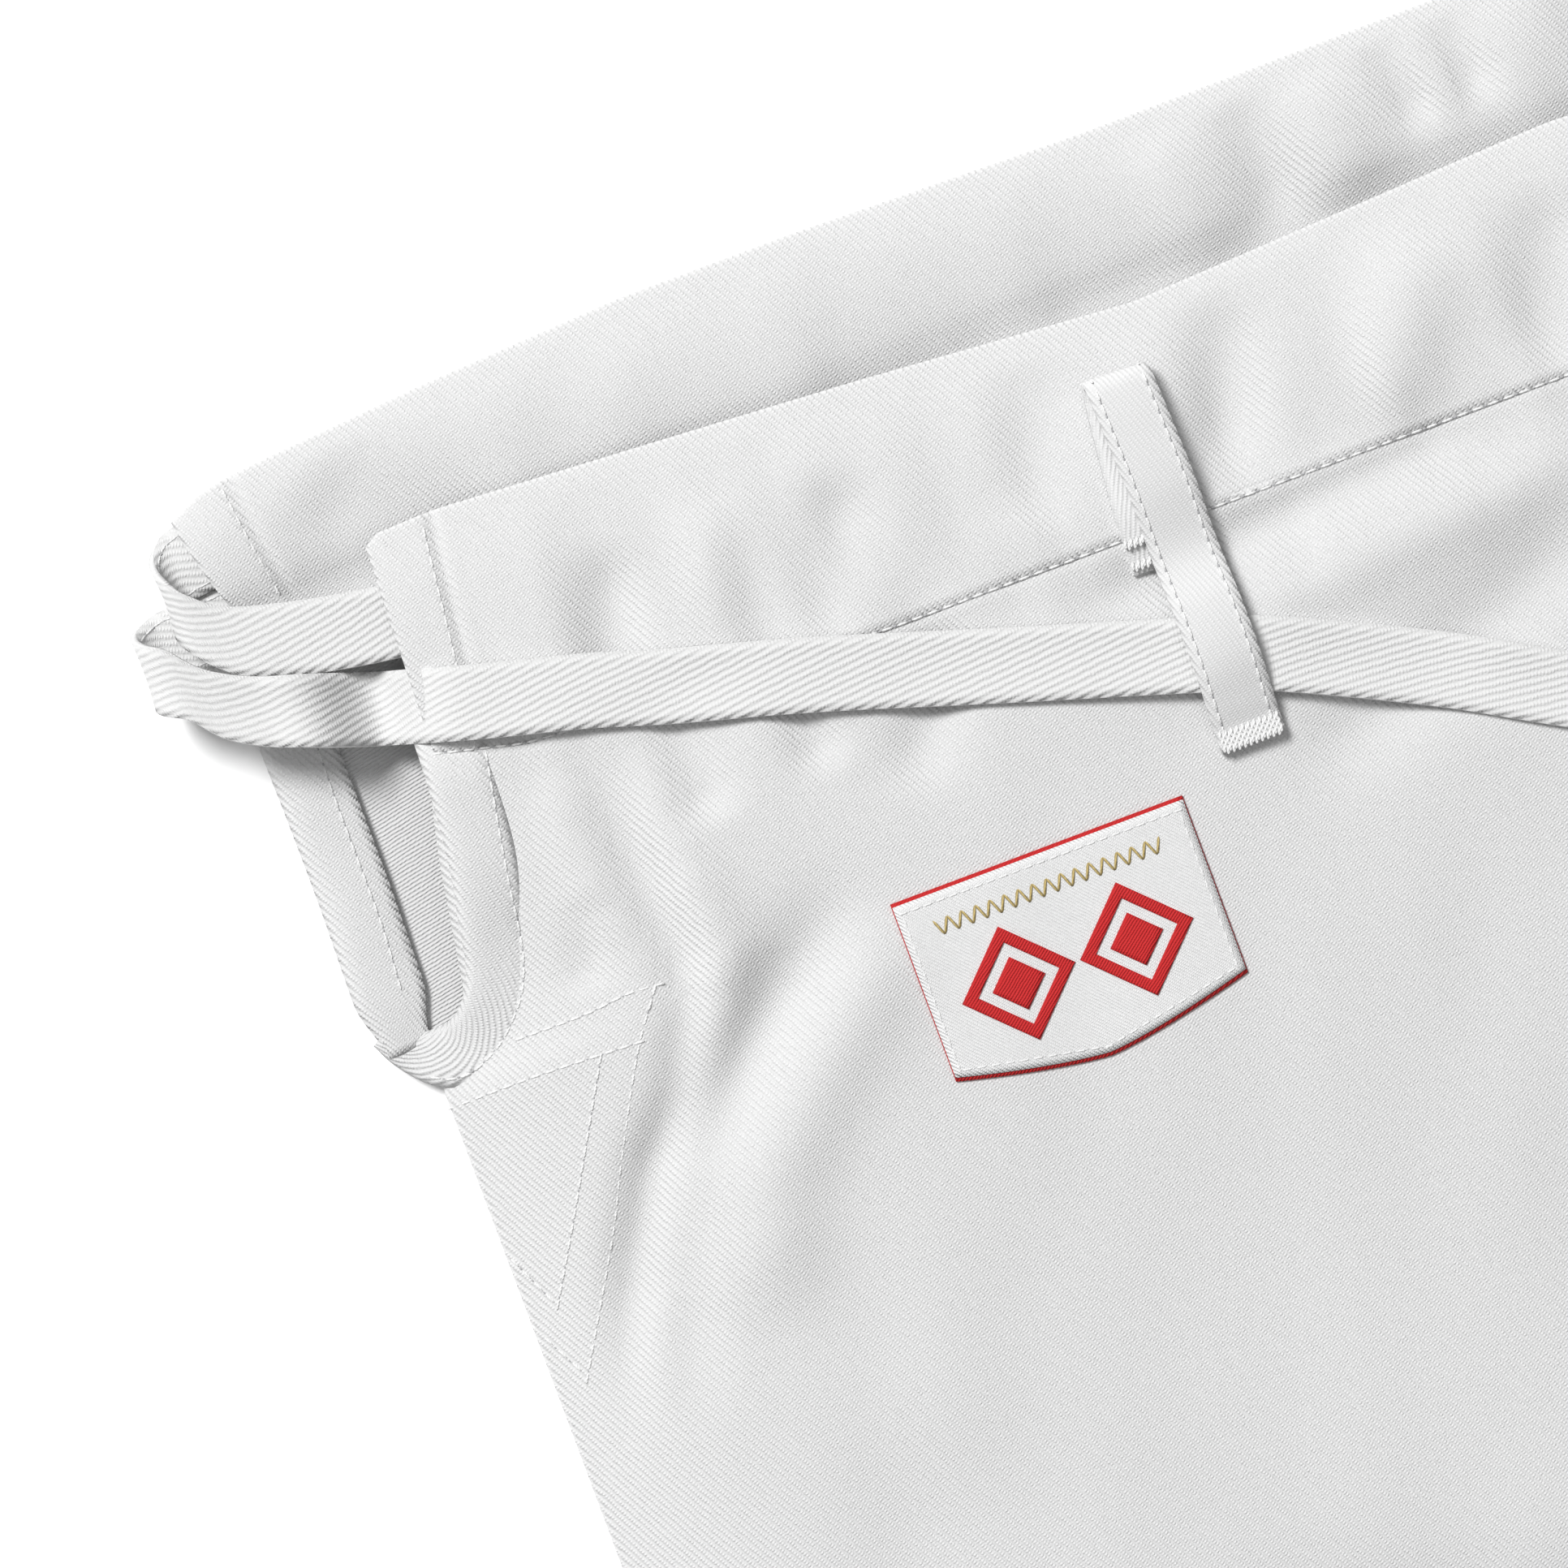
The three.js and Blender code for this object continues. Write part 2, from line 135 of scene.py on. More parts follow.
# %% [markdown]
# ## Camera, floor and light
# The camera looks straight down and is rolled, so the waist climbs to the right. A long lens keeps the
# view flat. A soft window light comes from beyond the waist, on the wearer's right. A weak panel above
# and a pale world fill the shadows.

# %% Camera
VIEW_OUT, VIEW_DROP, VIEW_WIDTH = 189.3, 103.2, 311.6  # middle and width of the view, in mm
CLOTH_TOP = 18
ROLL = math.radians(-20.5)
camera_data = bpy.data.cameras.new("camera")
camera_data.lens = 100
camera_data.sensor_width = 36
camera = bpy.data.objects.new("camera", camera_data)
bpy.context.scene.collection.objects.link(camera)
camera_height = CLOTH_TOP + VIEW_WIDTH * camera_data.lens / camera_data.sensor_width
camera.location = to_row(-1, VIEW_OUT, VIEW_DROP, camera_height)
camera.rotation_euler = (0, 0, ROLL)
bpy.context.scene.camera = camera

# %% Floor and lights
def area_light(name, place, target, size, power):
    data = bpy.data.lights.new(name, "AREA")
    data.shape = "RECTANGLE"
    data.size, data.size_y = size
    data.energy = power
    light = bpy.data.objects.new(name, data)
    light.location = place
    light.rotation_euler = (Vector(target) - Vector(place)).to_track_quat("-Z", "Y").to_euler()
    bpy.context.scene.collection.objects.link(light)


bpy.ops.mesh.primitive_plane_add(size=6, location=(0, 0, -0.0006))
floor = bpy.context.object
floor.name = "floor"
paper = bpy.data.materials.new("paper")
paper.use_nodes = True
paper_shader = paper.node_tree.nodes["Principled BSDF"]
paper_shader.inputs["Base Color"].default_value = (0.96, 0.96, 0.96, 1)
paper_shader.inputs["Roughness"].default_value = 0.95
floor.data.materials.append(paper)

area_light("window", (-2.9, 5.2, 6.4), (0, 0.1, 0), (3.0, 2.6), 870)
area_light("sky_panel", (0.2, -0.2, 2.2), (0, 0, 0), (2.4, 2.4), 5)
world = bpy.data.worlds.new("room")
world.use_nodes = True
background = world.node_tree.nodes["Background"]
background.inputs["Color"].default_value = (1, 1, 1, 1)
background.inputs["Strength"].default_value = 0.30
bpy.context.scene.world = world
bpy.context.scene.view_settings.view_transform = "Standard"

# %% [markdown]
# ## Weaves
# Drill is a twill: each thread passes over a few others and the next row starts one thread along, which
# gives slanting ribs. It is all worked out by nodes, so it stays sharp at any size. The ribs are a
# cosine across the slant, the threads are a sine along it that steps by half with each rib, and a
# little noise makes the yarn uneven. Both feed the bump and, faintly, the colour: it is darkened where
# the weave is low, as painted shade in its grooves, and a soft cloud of noise varies its tone at random.

# %% A node tree that can be written like a sum
class Tree:
    def __init__(self, name, colour, roughness):
        self.material = bpy.data.materials.new(name)
        self.material.use_nodes = True
        self.nodes = self.material.node_tree.nodes
        self.links = self.material.node_tree.links
        self.shader = self.nodes["Principled BSDF"]
        self.shader.inputs["Base Color"].default_value = (*colour, 1)
        self.shader.inputs["Roughness"].default_value = roughness

    def node(self, kind, **values):
        made = self.nodes.new(kind)
        for key, value in values.items():
            setattr(made, key, value)
        return made

    def feed(self, socket, value):
        if isinstance(value, (int, float, tuple)):
            socket.default_value = value
        else:
            self.links.new(value, socket)

    def math(self, operation, a, b=0.0, c=0.0):
        made = self.node("ShaderNodeMath", operation=operation)
        for socket, value in zip(made.inputs, (a, b, c)):
            self.feed(socket, value)
        return made.outputs[0]

    def noise(self, vector, scale, detail=2.0):
        made = self.node("ShaderNodeTexNoise")
        self.feed(made.inputs["Vector"], vector)
        made.inputs["Scale"].default_value = scale
        made.inputs["Detail"].default_value = detail
        return made.outputs["Fac"]

    def mix(self, factor, low, high):
        made = self.node("ShaderNodeMix", data_type="RGBA")
        self.feed(made.inputs[0], factor)
        self.feed(made.inputs[6], low)
        self.feed(made.inputs[7], high)
        return made.outputs[2]

    def bump(self, height, distance):
        made = self.node("ShaderNodeBump")
        made.inputs["Distance"].default_value = distance
        made.inputs["Strength"].default_value = 1.0
        self.feed(made.inputs["Height"], height)
        self.links.new(made.outputs[0], self.shader.inputs["Normal"])


def weave(name, colour, rib, slant, thread, depth, shade=0.16, roughness=0.88, sheen=0.25):
    """Twill on the piece's UV map, which is in metres. rib, thread and depth are in millimetres."""
    tree = Tree(name, colour, roughness)
    tree.shader.inputs["Sheen Weight"].default_value = sheen
    tree.shader.inputs["Sheen Roughness"].default_value = 0.6
    tree.shader.inputs["Specular IOR Level"].default_value = 0.25
    uv = tree.node("ShaderNodeUVMap", uv_map="weave").outputs[0]
    turn = tree.node("ShaderNodeMapping")
    turn.inputs["Rotation"].default_value = (0, 0, math.radians(slant))
    turn.inputs["Scale"].default_value = (1 / MM, 1 / MM, 1 / MM)
    tree.links.new(uv, turn.inputs["Vector"])
    split = tree.node("ShaderNodeSeparateXYZ")
    tree.links.new(turn.outputs[0], split.inputs[0])
    uneven = tree.noise(turn.outputs[0], 0.35, 3.0)
    wander = tree.math("MULTIPLY_ADD", uneven, 0.5, -0.25)
    across = tree.math("DIVIDE", tree.math("ADD", split.outputs[1], wander), rib)
    step = tree.math("MULTIPLY", tree.math("FLOOR", tree.math("ADD", across, 0.5)), 0.5)
    wave = tree.math("COSINE", tree.math("MULTIPLY", across, 2 * math.pi))
    ribs = tree.math("MULTIPLY_ADD", wave, 0.5, 0.5)
    along = tree.math("ADD", tree.math("DIVIDE", split.outputs[0], thread), step)
    twist = tree.math("SINE", tree.math("MULTIPLY", along, 2 * math.pi))
    threads = tree.math("MULTIPLY_ADD", twist, 0.5, 0.5)
    fuzz = tree.noise(turn.outputs[0], 2.2, 3.0)
    body = tree.math("MULTIPLY", ribs, tree.math("MULTIPLY_ADD", threads, 0.4, 0.6))
    height = tree.math("ADD", tree.math("MULTIPLY", body, 0.75), tree.math("MULTIPLY", fuzz, 0.55))
    tree.bump(height, depth * MM)
    # painted shade: the colour darkens in the low grooves of the weave by the share shade; the cloud adds
    # random tone
    cloud = tree.noise(uv, 18, 3.0)
    painted_shade_and_tone = tree.math("ADD", tree.math("MULTIPLY", height, 0.8), tree.math("MULTIPLY", cloud, 0.25))
    painted_groove_shade = tuple(c * (1 - shade) for c in colour) + (1,)
    tree.links.new(tree.mix(painted_shade_and_tone, painted_groove_shade, (*colour, 1)), tree.shader.inputs["Base Color"])
    rough = tree.math("MULTIPLY_ADD", fuzz, 0.15, roughness - 0.08)
    tree.links.new(rough, tree.shader.inputs["Roughness"])
    return tree.material


WHITE = (0.69, 0.69, 0.69)
drill = weave("drill", WHITE, rib=1.2, slant=60, thread=0.62, depth=0.34)
drill_inside = weave("drill_inside", (0.66, 0.66, 0.66), rib=0.8, slant=12, thread=1.1, depth=0.28)
tape_twill = weave("tape_twill", (0.69, 0.69, 0.688), rib=1.45, slant=-67, thread=0.7, depth=0.27,
                   shade=0.12)
loop_twill = weave("loop_twill", WHITE, rib=0.95, slant=70, thread=0.55, depth=0.18)
thread_white = weave("thread_white", (0.78, 0.78, 0.778), rib=0.42, slant=35, thread=0.3, depth=0.1)
# painted shade: a dark grey for the beads that stand for the shade in the needle holes
needle_hole_shade = weave("needle_hole_shade", (0.40, 0.40, 0.41), rib=0.3, slant=10, thread=0.3, depth=0.05,
                    roughness=0.95)

# %% [markdown]
# ## Cloth as a grid
# A cloth panel is a grid of points whose rows follow the weft and columns the warp. Drawing it in code
# keeps its UV map equal to the real cloth in metres, so the weave stays true to scale over every fold.
# Solidify then gives the sheet its thickness.

# %% Grid helpers
def new_piece(name, points, faces, uv, *materials):
    """A mesh object with a weave map; uv holds one pair for each corner of each face."""
    mesh = bpy.data.meshes.new(name)
    mesh.from_pydata(points.tolist(), [], faces)
    layer = mesh.uv_layers.new(name="weave")
    layer.data.foreach_set("uv", np.asarray(uv, np.float32).ravel())
    mesh.shade_smooth()
    for material in materials:
        mesh.materials.append(material)
    piece = bpy.data.objects.new(name, mesh)
    bpy.context.scene.collection.objects.link(piece)
    return piece


def cloth_grid(name, points, uv, material, keep=None, thick=0.9, inside=None, weld=False):
    """A sheet through a grid of points. keep leaves out squares that are False; inside lines it."""
    rows, columns = points.shape[:2]
    index = np.arange(rows * columns).reshape(rows, columns)
    quads = np.stack([index[:-1, :-1], index[:-1, 1:], index[1:, 1:], index[1:, :-1]], axis=-1)
    if keep is not None:
        quads = quads[keep]
    if inside is not None:
        # The lining goes on the side that looks down, so the faces of the front have to look up.
        corner = points[rows // 2, columns // 4]
        beside = points[rows // 2, columns // 4 + 1]
        below = points[rows // 2 + 1, columns // 4]
        if np.cross(beside - corner, below - corner)[2] < 0:
            quads = quads[..., ::-1]
    quads = quads.reshape(-1, 4)
    used = np.unique(quads)
    fresh = np.full(rows * columns, -1)
    fresh[used] = np.arange(len(used))
    materials = [material] if inside is None else [material, inside]
    piece = new_piece(name, points.reshape(-1, 3)[used], fresh[quads].tolist(),
                      uv.reshape(-1, 2)[quads.reshape(-1)], *materials)
    if weld:
        apply_modifier(piece, "WELD", merge_threshold=0.00002)
    if thick:
        thicken(piece, thick, inside is not None)
    return piece


def apply_modifier(piece, kind, **values):
    for other in bpy.context.selected_objects:
        other.select_set(False)
    bpy.context.view_layer.objects.active = piece
    piece.select_set(True)
    modifier = piece.modifiers.new("made", kind)
    for key, value in values.items():
        setattr(modifier, key, value)
    bpy.ops.object.modifier_apply(modifier=modifier.name)


def thicken(piece, thick, lined=False):
    """Gives a sheet its thickness; a lined one shows its second material on the inside."""
    apply_modifier(piece, "SOLIDIFY", thickness=thick * MM, offset=0.0, use_even_offset=False,
                   material_offset=int(lined))


def surface_of(*pieces):
    """A tree of the pieces' faces, to find the height of what lies under a point."""
    points, faces = [], []
    for piece in pieces:
        start = len(points)
        points += [v.co.copy() for v in piece.data.vertices]
        faces += [[start + i for i in p.vertices] for p in piece.data.polygons]
    return BVHTree.FromPolygons(points, faces)


def height_on(tree, side, out, drop, missing=1.0):
    """Height in mm of the highest surface under each point."""
    places = to_row(side, np.asarray(out, float), np.asarray(drop, float), 0.0).reshape(-1, 3)
    found = []
    for x, y, _ in places:
        hit = tree.ray_cast(Vector((x, y, 0.2)), Vector((0, 0, -1)))[0]
        found.append(missing if hit is None else hit.z / MM)
    return np.array(found).reshape(np.shape(out))


# %% [markdown]
# ## The leg cloths
# Each leg is one piece of drill that starts at the front seam, passes over the front, rolls round the
# side and comes back underneath to the back seam. It is shaped as a flattened tube: quick to lift at the
# edges, nearly level in between, with creases where the real cloth is pulled or has slack.

# %% Outlines of a leg
HEM, CROTCH, GUSSET_TOP, SLIT = 970, 373, 285, 134
FRONT_SEAM, BACK_SEAM, TUCK = 80, 47, 6
HEM_DEPTH, BACK_Z = 29.5, 0.8


def outer(drop):
    return np.interp(drop, [0, SLIT, CROTCH, HEM], [275, 275, 275, 290])


def inner(drop):
    return np.interp(drop, [GUSSET_TOP, CROTCH, HEM], [0.6, 26, 45])


def back_edge(drop):
    return np.interp(drop, [47, 59, 113, 128, 140, 200], [286, 286, 285, 280, 276, 275])


def front_edge(drop):
    return np.interp(drop, [60, 72, 99.5, 120.5, 132, 140], [252, 253.5, 261, 265.5, 270, 274.5])


def casing_line(out):
    """Drop of the stitching under the front casing."""
    return np.interp(out, [0, 15, 162, 234, 253], [82, 82, 82, 78, 73.5])


# %% How the front lies
# Folds are (points, width, height) and creases (start, end, width, height), with places as (out, drop).
FRONT_BENT_FOLDS = [
    ([(227, 78), (224, 96), (221.5, 112), (220.5, 127), (221.5, 137), (231, 154), (241, 166), (250, 181),
      (259, 201), (264, 222)], 4.4, -3.2),
    ([(216, 84), (214, 112), (212, 130), (224, 150), (238, 172), (250, 196), (257, 220)], 6.0, 2.2),
    ([(180, 122), (205, 142.5), (221, 155), (236, 168), (246, 190), (250, 220)], 7.5, -3.7),
    ([(172, 132), (200, 158), (218, 176), (230, 206)], 9.0, 2.2)]
FRONT_CREASES = [
    ((231, 84), (234, 124), 5.0, 1.2), ((233, 110), (241, 129), 4.0, -1.2),
    ((207, 78), (204, 106), 5.0, -2.4), ((186, 78), (178, 104), 5.5, -2.1),
    ((146, 82), (166, 114), 6.0, -1.9), ((30, 83), (128, 92), 6.0, -2.2),
    ((10, 96), (120, 108), 7.0, 1.6), ((14, 110), (95, 138), 9.0, -2.2),
    ((205, 230), (240, 330), 16.0, -1.6), ((60, 330), (170, 300), 14.0, -3.0),
    ((45, 352), (150, 350), 10.0, 2.2), ((60, 392), (190, 420), 14.0, -2.5),
    ((90, 545), (230, 560), 12.0, -2.2), ((100, 590), (250, 570), 12.0, 1.6),
    ((80, 720), (200, 760), 16.0, -2.0)]
EDGE_Z, FULL_Z, SHOULDER = 3.2, 17.5, 62


def front_height(out, drop, seed=0):
    """Height of the front's cloth: low at its edges, up over a shoulder, then level with folds."""
    edge = np.where(drop > 138, outer(drop), front_edge(drop))
    from_side = np.clip((edge - out) / SHOULDER, 0, 1)
    lift = smooth((140 - drop) / 70)
    level = EDGE_Z + 9.5 * lift
    z = level + (FULL_Z - level) * (1 - (1 - from_side) ** 2.6)
    from_inside = np.clip((out - inner(drop)) / SHOULDER, 0, 1)
    joined = smooth((CROTCH - drop) / (CROTCH - GUSSET_TOP))
    inside = (1 - (1 - from_inside) ** 2.6) * (1 - joined) + joined
    z = EDGE_Z + (z - EDGE_Z) * inside
    calm = smooth((drop - 85) / 40) * from_side**0.5
    z = z + 1.1 * calm * noise(out / 46 + drop / 150, drop / 90 - out / 240, 11 + seed)
    z = z + 0.45 * calm * noise(out / 17 - drop / 60, drop / 44, 17 + seed)
    gathers = np.exp(-(((drop - 88) / 16) ** 2))
    z = z + 1.2 * gathers * noise(out / 11, drop / 40, 5 + seed)
    z = z + 0.5 * gathers * noise(out / 5.5, drop / 20, 7 + seed)
    for points, width, height in FRONT_BENT_FOLDS:
        z = z + fold(out, drop, points, width, height)
    for start, end, width, height in FRONT_CREASES:
        z = z + crease(out, drop, start, end, width, height)
    return z


# %% Leg cloths
def leg_cloth(name, side, seed):
    """From the inside edge over the front, round the side fold and back underneath."""
    slit_rows = np.linspace(0, 1, 40)
    fine_rows = np.arange(136.5, 420, 2.6)
    body_rows = np.concatenate([fine_rows, np.arange(420, HEM - 29, 4.0), [HEM - HEM_DEPTH]])
    top_drop = FRONT_SEAM - TUCK
    front_drop = np.concatenate([top_drop + (SLIT - top_drop) * slit_rows, body_rows])[:, None]
    back_drop = np.concatenate([BACK_SEAM + (SLIT - BACK_SEAM) * slit_rows, body_rows])[:, None]
    t = np.linspace(0, 1, 92)[None, :]
    edge = np.where(front_drop > SLIT, outer(front_drop) - 2.0, front_edge(front_drop) - 1.5)
    out_f = inner(front_drop) + (edge - inner(front_drop)) * t
    drop_f = front_drop + (casing_line(out_f) - FRONT_SEAM) * smooth((140 - front_drop) / 60)
    z_f = front_height(out_f, drop_f, seed) - 2.4 * smooth((casing_line(out_f) - drop_f) / 4)
    roll = np.radians([45, 90, 135])[None, :]
    edge_z = z_f[:, -1:]
    middle = (edge_z + BACK_Z) / 2
    out_s = edge + 2.0 * np.sin(roll)
    z_s = middle + (edge_z - middle) * np.cos(roll)
    u = np.linspace(1, 0, 34)[None, :]
    edge_b = np.where(back_drop > SLIT, edge, back_edge(back_drop) - 1.0)
    out_b = inner(back_drop) + (edge_b - inner(back_drop)) * u
    rise = 2.2 * np.clip(1 - (out_b - inner(back_drop)) / 5, 0, 1) * (back_drop > CROTCH)
    z_b = BACK_Z + rise + 0.5 * np.abs(noise(out_b / 40, back_drop / 60, 31 + seed))
    drop_s = np.broadcast_to(front_drop, (len(front_drop), 3))
    out_all = np.concatenate([out_f, out_s, out_b], axis=1)
    drop_all = np.concatenate([drop_f, drop_s, np.broadcast_to(back_drop, out_b.shape)], axis=1)
    z_all = np.concatenate([z_f, z_s, z_b], axis=1)
    points = to_row(side, out_all, drop_all, z_all)
    unrolled = np.concatenate([out_f, out_s, 2 * edge - out_b + 3], axis=1)
    uv = weave_map(side * unrolled, drop_all)
    keep = np.ones((len(front_drop) - 1, out_all.shape[1] - 1), bool)
    keep[:39, 91:95] = False  # the slit
    print(name, "grid", points.shape)
    return cloth_grid(name, points, uv, drill, keep, inside=drill_inside)


legs = {name: leg_cloth(name + "_leg_cloth", side, seed) for seed, (name, side) in enumerate(SIDES.items())}
ground = surface_of(*legs.values())

# %% [markdown]
# ## Waist casings
# A casing is the waist edge turned down inside and stitched, which leaves a flat tunnel for the cord.
# Its section is a loop: up the outside, over the folded edge and down inside. The loop is carried
# across the waist, and the stitching draws it into small puckers.

# %% Casing shapes
def front_top(out):
    return np.interp(out, [0, 90, 148, 236, 248, 253], [33, 37.5, 33, 27.5, 28, 31])


def back_top(out):
    return np.interp(out, [0, 87, 150, 186, 230, 262, 273, 280, 286], [1, 1.5, 0, 0, 2.5, 5.2, 6.3, 8, 11])


def front_hem_line(drop):
    return np.interp(drop, [28, 56, 76], [237, 240, 243])


def back_hem_line(drop):
    return np.interp(drop, [8, 32, 40], [273, 269.5, 266])


CASING_FRONT_CREASES = [
    ((-214, 80), (-206, 46), 6.0, -2.3), ((-196, 82), (-182, 42), 7.0, 1.6),
    ((-170, 82), (-158, 48), 7.0, -2.5), ((-126, 76), (-112, 38), 9.0, -2.4),
    ((-84, 78), (-72, 40), 7.0, -2.3), ((-52, 80), (-30, 42), 10.0, 1.9),
    ((-18, 82), (-6, 44), 8.0, -2.2), ((60, 82), (84, 44), 9.0, -2.3),
    ((130, 80), (118, 44), 8.0, -1.5), ((190, 80), (204, 46), 8.0, -1.6)]
CASING_BACK_CREASES = [
    ((-258, 8), (-226, 44), 12.0, -2.4), ((-200, 6), (-150, 40), 18.0, 1.2),
    ((-76, 4), (-70, 38), 7.0, 1.4), ((-57, 3), (-54, 34), 6.0, -2.8),
    ((-43, 3), (-38, 34), 8.0, 2.0), ((-28, 1), (-20, 25), 3.6, -3.4),
    ((-20, 2), (-15, 24), 4.0, 1.6), ((-14, 1), (-8, 24), 3.2, -3.4),
    ((12, 3), (20, 34), 4.5, -2.6), ((26, 3), (38, 36), 6.0, -2.2),
    ((52, 4), (70, 40), 8.0, -2.2), ((258, 8), (226, 44), 12.0, -2.4)]


def front_folds(out, drop):
    return sum(crease(out, drop, *values) for values in CASING_FRONT_CREASES)


def back_folds(out, drop):
    """Creases, a ridge over the middle seam and a dip where the front casing lies on it."""
    z = sum(crease(out, drop, *values) for values in CASING_BACK_CREASES)
    return z + 1.1 * np.exp(-((out / 7) ** 2)) - 1.5 * np.exp(-(((drop - 34) / 4) ** 2))


def swept_casing(name, half, top, line, base, puff, end_out, hem_line, folds, ruffle, seed):
    """A flattened tunnel. top, line and base are functions of out; end_out(t) is where its face ends."""
    s = (np.sin(np.linspace(-1.3, 1.3, 250)) / math.sin(1.3))[:, None]
    a = np.linspace(0, 1, 44)[None, :]
    face = a < 0.5
    t = np.where(face, a * 2, 2 - a * 2)
    t = np.sin(t * math.pi / 2) ** 1.1
    out = s * np.where(face, end_out(t), half)
    drop = line(np.abs(out)) + (top(np.abs(out)) - line(np.abs(out))) * t
    swell = np.sin(np.clip(t, 0, 1) ** 1.4 * math.pi) ** 0.8
    low, high = base(out, t)
    near_line = np.exp(-(t**2) / 0.12)
    pucker = (1.0 + 1.5 * near_line) * noise(out / 12 + drop / 90, drop / 60, seed)
    pucker = pucker + 0.9 * near_line * noise(out / 6, drop / 30, seed + 3)
    shape = np.sin(np.clip(t * 1.1, 0, 1) * math.pi) ** 0.8
    past_hem = np.abs(out) - hem_line(drop)
    hem = 0.55 * smooth(past_hem / 1.6) - 0.7 * np.exp(-((past_hem / 1.1) ** 2))
    loose = shape * (ruffle * pucker + folds(out, drop))
    z = np.where(face, high + puff * swell + loose + hem, low - 0.25 * swell)
    points = to_row(1, out, drop, z)
    height = np.where(face, drop, 2 * top(np.abs(out)) - drop)
    uv = weave_map(out, height)
    return cloth_grid(name, points, uv, drill)


def front_base(out, t):
    away = np.abs(out)
    left_z = front_height(away, casing_line(away))
    right_z = front_height(away, casing_line(away), 1)
    seam_z = np.where(out > 0, left_z, right_z)
    high = seam_z * (1 - t) + (11.5 + 0.8 * np.cos(out / 30)) * t
    low = high - 2.0 - 2.4 * np.sin(t * math.pi)
    return low, high


def back_base(out, t):
    high = 4.0 + 0.0 * out + 1.2 * smooth((np.abs(out) - 240) / 40) * t
    low = 0.8 + 1.6 * t + 0.0 * out
    return low, high


front_casing = swept_casing(
    "front_casing_cloth", 251, front_top, casing_line, front_base, 1.6,
    lambda t: 252.5 - 1.5 * t, front_hem_line, front_folds, 1.0, 41)
back_casing = swept_casing(
    "back_casing_cloth", 285, back_top, lambda out: BACK_SEAM + 0 * out, back_base, 3.0,
    lambda t: 270 + 16.5 * t**0.45, back_hem_line, back_folds, 0.45, 57)


# %% [markdown]
# ## Tapes and bands
# The cord, the belt loops and the strips that bind the slits are all flat bands. Each follows a smooth
# curve through a few given points; a fourth number turns its width, in degrees, where the band
# twists. Its map runs along the band, so its twill follows every bend.

# %% Bands along a route
def run_length(points):
    """How far along a row of points each one is."""
    steps = np.linalg.norm(np.diff(points, axis=0), axis=1)
    return np.concatenate([[0], np.cumsum(steps)])


def sample(at, length, rows):
    """Values of each column of rows at the given lengths."""
    return np.stack([np.interp(at, length, column) for column in rows.T], axis=1)


def smooth_route(points, step=1.6):
    """A smooth curve through the points, sampled evenly by length."""
    points = np.asarray(points, float)
    ends = np.vstack([2 * points[0] - points[1], points, 2 * points[-1] - points[-2]])
    fine = []
    for i in range(1, len(ends) - 2):
        p0, p1, p2, p3 = ends[i - 1:i + 3]
        t = np.linspace(0, 1, 16, endpoint=False)[:, None]
        fine.append(0.5 * (2 * p1 + (p2 - p0) * t + (2 * p0 - 5 * p1 + 4 * p2 - p3) * t**2
                           + (3 * p1 - p0 - 3 * p2 + p3) * t**3))
    fine = np.vstack(fine + [points[-1:]])
    length = run_length(fine[:, :3])
    at = np.linspace(0, length[-1], max(3, int(length[-1] / step) + 1))
    return sample(at, length, fine)


def relax(values, rounds):
    """Evens out a row of numbers and keeps its ends."""
    values = np.array(values, float)
    for _ in range(rounds):
        values[1:-1] = (values[:-2] + 2 * values[1:-1] + values[2:]) / 4
    return values


def band(name, side, route, width, thick, material, crown=0.3, seed=0, ripple=0.0, sink=(0.0, 0.0),
         taper=None):
    """A flat band along a route of (out, drop, z) or (out, drop, z, turn). Returns the piece and its grid.

    sink presses its two edges down. taper is (where, share): from there on it narrows to that share.
    """
    route = np.asarray(route, float)
    centre = to_row(side, route[:, 0], route[:, 1], route[:, 2])
    along = np.gradient(centre, axis=0)
    along /= np.linalg.norm(along, axis=1)[:, None]
    if route.shape[1] > 3:
        turn = np.radians(route[:, 3])
        across = np.stack([side * np.cos(turn), np.sin(turn), 0 * turn], axis=1)
    else:
        across = np.cross([0, 0, 1], along) * side
    square = smooth((278 - np.abs(route[:, 0])) / 18)[:, None]
    across -= square * (across * along).sum(1)[:, None] * along
    across /= np.linalg.norm(across, axis=1)[:, None]
    face = np.cross(along, across) * side
    face /= np.linalg.norm(face, axis=1)[:, None]
    j = np.linspace(-1, 1, 9)
    length = run_length(centre)
    wave = ripple * noise(length[:, None] / 0.016, j[None, :] * 0.8 + 3, 90 + seed)
    edges = sink[0] * smooth((-j - 0.66) / 0.3) + sink[1] * smooth((j - 0.66) / 0.3)
    lift = (crown * (1 - j[None, :] ** 2) + wave - edges[None, :]) * MM
    half = width / 2 * MM
    narrow = np.ones(len(route))
    if taper:
        narrow = 1 - (1 - taper[1]) * smooth((length / length[-1] - taper[0]) / (1 - taper[0]))
    spread = half * narrow[:, None] * j[None, :]
    points = centre[:, None] + across[:, None] * spread[:, :, None] + face[:, None] * lift[:, :, None]
    uv = np.stack(np.broadcast_arrays(-side * half * j[None, :], length[:, None]), axis=-1)
    piece = cloth_grid(name, points, uv, material, thick=thick)
    return piece, dict(centre=centre, points=points, face=face, length=length, thick=thick, half=half)
